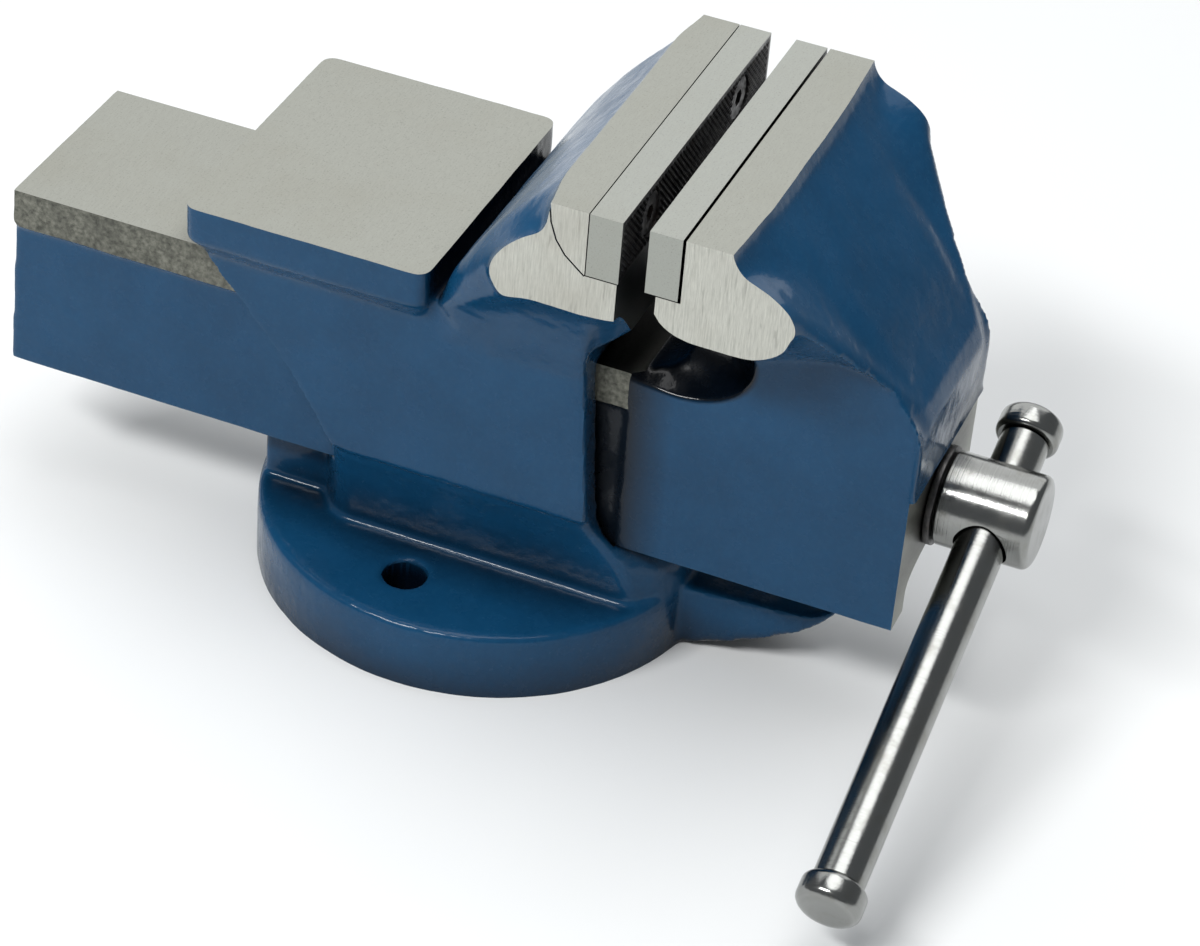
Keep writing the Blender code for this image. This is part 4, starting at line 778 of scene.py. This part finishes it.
def build_spindle(material):
    sides = 64
    crest = BORE_RADIUS - FIT_GAP
    root = crest - THREAD_DEPTH
    head_high, head = along("spindle", SPINDLE_ORIGIN, SPINDLE_AXIS)[1:]
    head_low = min(place for place, radius in radial_points("spindle") if radius > crest + 0.001)
    front = SPINDLE_ORIGIN.x + head_high
    head_x = SPINDLE_ORIGIN.x + head_low
    thread_end = COLLAR_LOW.x - 0.004
    thread_start = SPINDLE_LOW.x + THREAD_LEAD_IN
    stations = [(SPINDLE_LOW.x, crest - 0.0022), (SPINDLE_LOW.x + THREAD_LEAD_IN / 2, crest - 0.0014)]
    steps = int((thread_end - thread_start) / THREAD_STEP)
    stations += [(thread_start + (thread_end - thread_start) * i / steps, None)
                 for i in range(steps + 1)]
    stations += [(head_x - 0.0001, crest), (head_x, crest), (head_x, head - 0.0008), (head_x + 0.0008, head)]
    for step in range(9):
        angle = math.pi / 2 * step / 8
        stations.append((front - HEAD_ROUNDING * (1 - math.sin(angle)),
                         head - HEAD_ROUNDING * (1 - math.cos(angle))))
    shape = bmesh.new()
    rows = []
    for x, radius in stations:
        row = []
        for side in range(sides):
            angle = 2 * math.pi * side / sides
            r = radius or thread_radius(x, angle, crest, root, SPINDLE_LOW.x, thread_end)
            row.append(shape.verts.new((x, r * math.cos(angle), SPINDLE_Z + r * math.sin(angle))))
        rows.append(row)
    for first, second in zip(rows, rows[1:]):
        for side in range(sides):
            after = (side + 1) % sides
            shape.faces.new((first[side], first[after], second[after], second[side]))
    shape.faces.new(rows[0])
    shape.faces.new(rows[-1])
    bmesh.ops.recalc_face_normals(shape, faces=shape.faces)
    piece = new_object("spindle_screw", shape, [material])
    hole = hole_shape([HANDLE_ORIGIN], [(-0.03, HANDLE_HOLE_RADIUS), (0.03, HANDLE_HOLE_RADIUS)], HANDLE_AXIS)
    cut(piece, hole, "EXACT")
    pin_x = (COLLAR_LOW.x + COLLAR_HIGH.x) / 2
    pin_hole = [(-0.02, PIN_HOLE_RADIUS), (0.02, PIN_HOLE_RADIUS)]
    cut(piece, hole_shape([(pin_x, 0.0, SPINDLE_Z)], pin_hole, (0, 0, 1), 24), "EXACT")
    smooth_with_sharp_edges(piece, 32)
    stand_for(piece, "spindle", "turned_steel", "spindle")
    return piece


def radial_points(node):
    """(place, radius) of each vertex of a CAD node about the spindle's axis."""
    points = []
    for vertex in NODES[node].data.vertices:
        offset = vertex.co - SPINDLE_ORIGIN
        place = offset.dot(SPINDLE_AXIS)
        points.append((place, (offset - SPINDLE_AXIS * place).length))
    return points


def build_ring(name, node, origin, axis, inner, material, body):
    """Washer with its edges broken."""
    start, end, outer = along(node, origin, axis)
    edge = WASHER_EDGE / 2
    profile = [(start, inner + edge), (start + edge, inner), (end - edge, inner), (end, inner + edge)]
    profile += list(reversed(broken_edge(start, end, outer, WASHER_EDGE)))
    piece = new_object(name, lathe_shape(profile, origin, axis, ring=True), [material])
    smooth_with_sharp_edges(piece, 25)
    stand_for(piece, body, "dark_steel", node)


def build_spring(material):
    """Round-wire compression spring with closed ends."""
    start, end, outer = along("thrust_spring", SPINDLE_ORIGIN, SPINDLE_AXIS)
    wire, turns = SPRING_WIRE_RADIUS, SPRING_TURNS
    steps, sides = 60, 12
    coil = outer - wire
    length = end - start - 2 * wire
    shape = bmesh.new()
    rings = []
    total = int(turns * steps)
    for step in range(total + 1):
        share = step / total
        angle = 2 * math.pi * turns * share
        outward = Vector((0.0, math.cos(angle), math.sin(angle)))
        centre = Vector((SPINDLE_ORIGIN.x + start + wire + length * share, 0.0, SPINDLE_Z)) + outward * coil
        along_wire = Vector((length / (2 * math.pi * turns), -coil * math.sin(angle), coil * math.cos(angle)))
        across = along_wire.normalized().cross(outward).normalized()
        ring = []
        for corner in range(sides):
            turn = 2 * math.pi * corner / sides
            ring.append(shape.verts.new(centre + (outward * math.cos(turn) + across * math.sin(turn)) * wire))
        rings.append(ring)
    for first, second in zip(rings, rings[1:]):
        for corner in range(sides):
            after = (corner + 1) % sides
            shape.faces.new((first[corner], first[after], second[after], second[corner]))
    shape.faces.new(rings[0])
    shape.faces.new(rings[-1])
    bmesh.ops.recalc_face_normals(shape, faces=shape.faces)
    piece = new_object("thrust_spring_coil", shape, [material])
    smooth_with_sharp_edges(piece, 40)
    stand_for(piece, "spindle", "dark_steel", "thrust_spring")


# ---- handle -----------------------------------------------------------------------------
def build_handle(material):
    upper_start, upper_end, cap = along("handle_cap_upper", HANDLE_ORIGIN, HANDLE_AXIS)
    lower_start, lower_end, cap = along("handle_cap_lower", HANDLE_ORIGIN, HANDLE_AXIS)
    bar_start, bar_end, bar = along("handle_bar", HANDLE_ORIGIN, HANDLE_AXIS)
    spigot = CAP_SPIGOT_RADIUS
    shoulder_low, shoulder_high = upper_end + FIT_GAP, lower_start - FIT_GAP
    profile = [(bar_start, spigot), (shoulder_low, spigot), (shoulder_low, bar - BAR_EDGE),
               (shoulder_low + BAR_EDGE, bar), (shoulder_high - BAR_EDGE, bar),
               (shoulder_high, bar - BAR_EDGE), (shoulder_high, spigot), (bar_end, spigot)]
    piece = new_object("handle_rod", lathe_shape(profile, HANDLE_ORIGIN, HANDLE_AXIS), [material])
    smooth_with_sharp_edges(piece, 25)
    stand_for(piece, "handle", "turned_steel", "handle_bar")
    for name, node, inner, end in (("handle_knob_upper", "handle_cap_upper", upper_end, upper_start),
                                   ("handle_knob_lower", "handle_cap_lower", lower_start, lower_end)):
        outward = 1 if end > inner else -1
        length = abs(end - inner)
        steps = [(CAP_BORE_DEPTH, CAP_BORE_RADIUS), (0.0, CAP_BORE_RADIUS), (0.0, cap - 0.0010),
                 (0.0003, cap - 0.0005), (0.0009, cap - 0.0001), (0.0016, cap),
                 (length - 0.0027, cap), (length - 0.0018, cap - 0.0002),
                 (length - 0.0010, cap - 0.0008), (length - 0.0004, cap - 0.0016),
                 (length - 0.0001, cap - 0.0026), (length, cap - 0.0038)]
        profile = [(inner + outward * place, radius) for place, radius in steps]
        piece = new_object(name, lathe_shape(profile, HANDLE_ORIGIN, HANDLE_AXIS), [material])
        smooth_with_sharp_edges(piece, 28)
        stand_for(piece, "handle", "turned_steel", node)


# ---- setting ----------------------------------------------------------------------------
def build_floor():
    shape = bmesh.new()
    bmesh.ops.create_grid(shape, x_segments=1, y_segments=1, size=6.0)
    surface = Surface("studio_floor", 0.0, 0.9)
    shades = (0.77, 0.78, 0.78), (0.80, 0.81, 0.81)
    surface.colour(surface.ramp(surface.noise(3.0, 2.0), 0.3, 0.7, *shades))
    floor = new_object("studio_floor", shape, [surface.material])


def add_area_light(name, location, target, size, power, colour=(1.0, 1.0, 1.0)):
    data = bpy.data.lights.new(name, "AREA")
    data.shape = "RECTANGLE"
    data.size, data.size_y = size
    data.energy = power
    data.color = colour
    light = bpy.data.objects.new(name, data)
    light.location = location
    light.rotation_euler = (Vector(target) - Vector(location)).to_track_quat("-Z", "Y").to_euler()
    bpy.context.scene.collection.objects.link(light)


def build_studio():
    world = bpy.data.worlds.new("studio")
    world.use_nodes = True
    background = world.node_tree.nodes["Background"]
    background.inputs["Color"].default_value = (0.90, 0.95, 1.0, 1.0)
    background.inputs["Strength"].default_value = 0.20
    bpy.context.scene.world = world
    bpy.context.scene.view_settings.view_transform = "Standard"
    add_area_light("back_softbox", (-0.45, 1.35, 1.30), (0.0, 0.0, 0.05), (3.2, 2.0), 24.0)
    add_area_light("top_softbox", (0.10, 0.10, 1.6), (0.0, 0.0, 0.05), (1.0, 1.0), 11.0)
    add_area_light("front_strip", (-0.35, -0.90, 1.17), (0.0, 0.0, 0.05), (0.75, 0.16), 17.0)


def build_camera():
    right = Vector((0.9218, 0.3812, 0.0709))
    up = Vector((-0.2819, 0.5335, 0.7975))
    data = bpy.data.cameras.new("camera")
    data.sensor_width = 36.0
    data.lens = 115.52
    data.clip_start = 0.05
    camera = bpy.data.objects.new("camera", data)
    matrix = Matrix((right, up, right.cross(up))).transposed().to_4x4()
    matrix.translation = Vector((0.29994, -0.76504, 0.64356))
    camera.matrix_world = matrix
    bpy.context.scene.collection.objects.link(camera)
    bpy.context.scene.camera = camera


# ---- everything -------------------------------------------------------------------------
def repaint(node, material):
    mesh = NODES[node].data
    mesh.materials.clear()
    mesh.materials.append(material)


def build():
    enamel = blue_enamel()
    ground = ground_surface("ground_iron", (2400.0, 260.0, 2400.0), (0.325, 0.33, 0.295), 0.085)
    ends = scratched_face()
    strip = slide_strip()
    plate_steel = ground_surface("plate_steel", (2600.0, 300.0, 2600.0), (0.345, 0.355, 0.325), 0.07,
                                 (0.28, 0.42))
    spindle_steel = turned_steel("spindle_steel", SPINDLE_AXIS)
    handle_steel = turned_steel("handle_steel", HANDLE_AXIS)
    black = dark_steel()
    iron = nut_iron()
    build_body([enamel, ground, ends])
    # enamel copy with painted shade: a dark band where the slide enters the body and dark hollows under the jaw's
    # ends
    gap_shaded_enamel = blue_enamel("gap_shaded_enamel", (0.0340, 0.0465, 0.0020, 0.0120))
    build_moving_jaw([gap_shaded_enamel, ground, ends, strip])
    for name, node, body, outward in (("fixed_plate", "fixed_jaw_plate", "body", 1),
                                      ("moving_plate", "moving_jaw_plate", "moving_jaw", -1)):
        stand_for(build_plate(name, node, outward, plate_steel, black), body, "ground_steel", node)
    build_spindle(spindle_steel)
    build_handle(handle_steel)
    build_spring(black)
    for name, node in (("thrust_ring", "thrust_washer"), ("spring_ring", "spring_washer")):
        build_ring(name, node, SPINDLE_ORIGIN, SPINDLE_AXIS, BORE_RADIUS, black, "spindle")
    for end, x in (("front", NUT_BOLT_X), ("rear", -NUT_BOLT_X)):
        build_ring("bolt_washer_" + end, "nut_bolt_washer_" + end, Vector((x, 0.0, 0.0)),
                   Vector((0.0, 0.0, 1.0)), NUT_BOLT_HOLE_RADIUS, black, "body")
    for node in ("retaining_collar", "collar_pin", "nut_bolt_front", "nut_bolt_rear",
                 "fixed_plate_screw_left", "fixed_plate_screw_right",
                 "moving_plate_screw_left", "moving_plate_screw_right"):
        repaint(node, black)
    repaint("spindle_nut", iron)
    build_floor()
    build_studio()
    build_camera()


build()
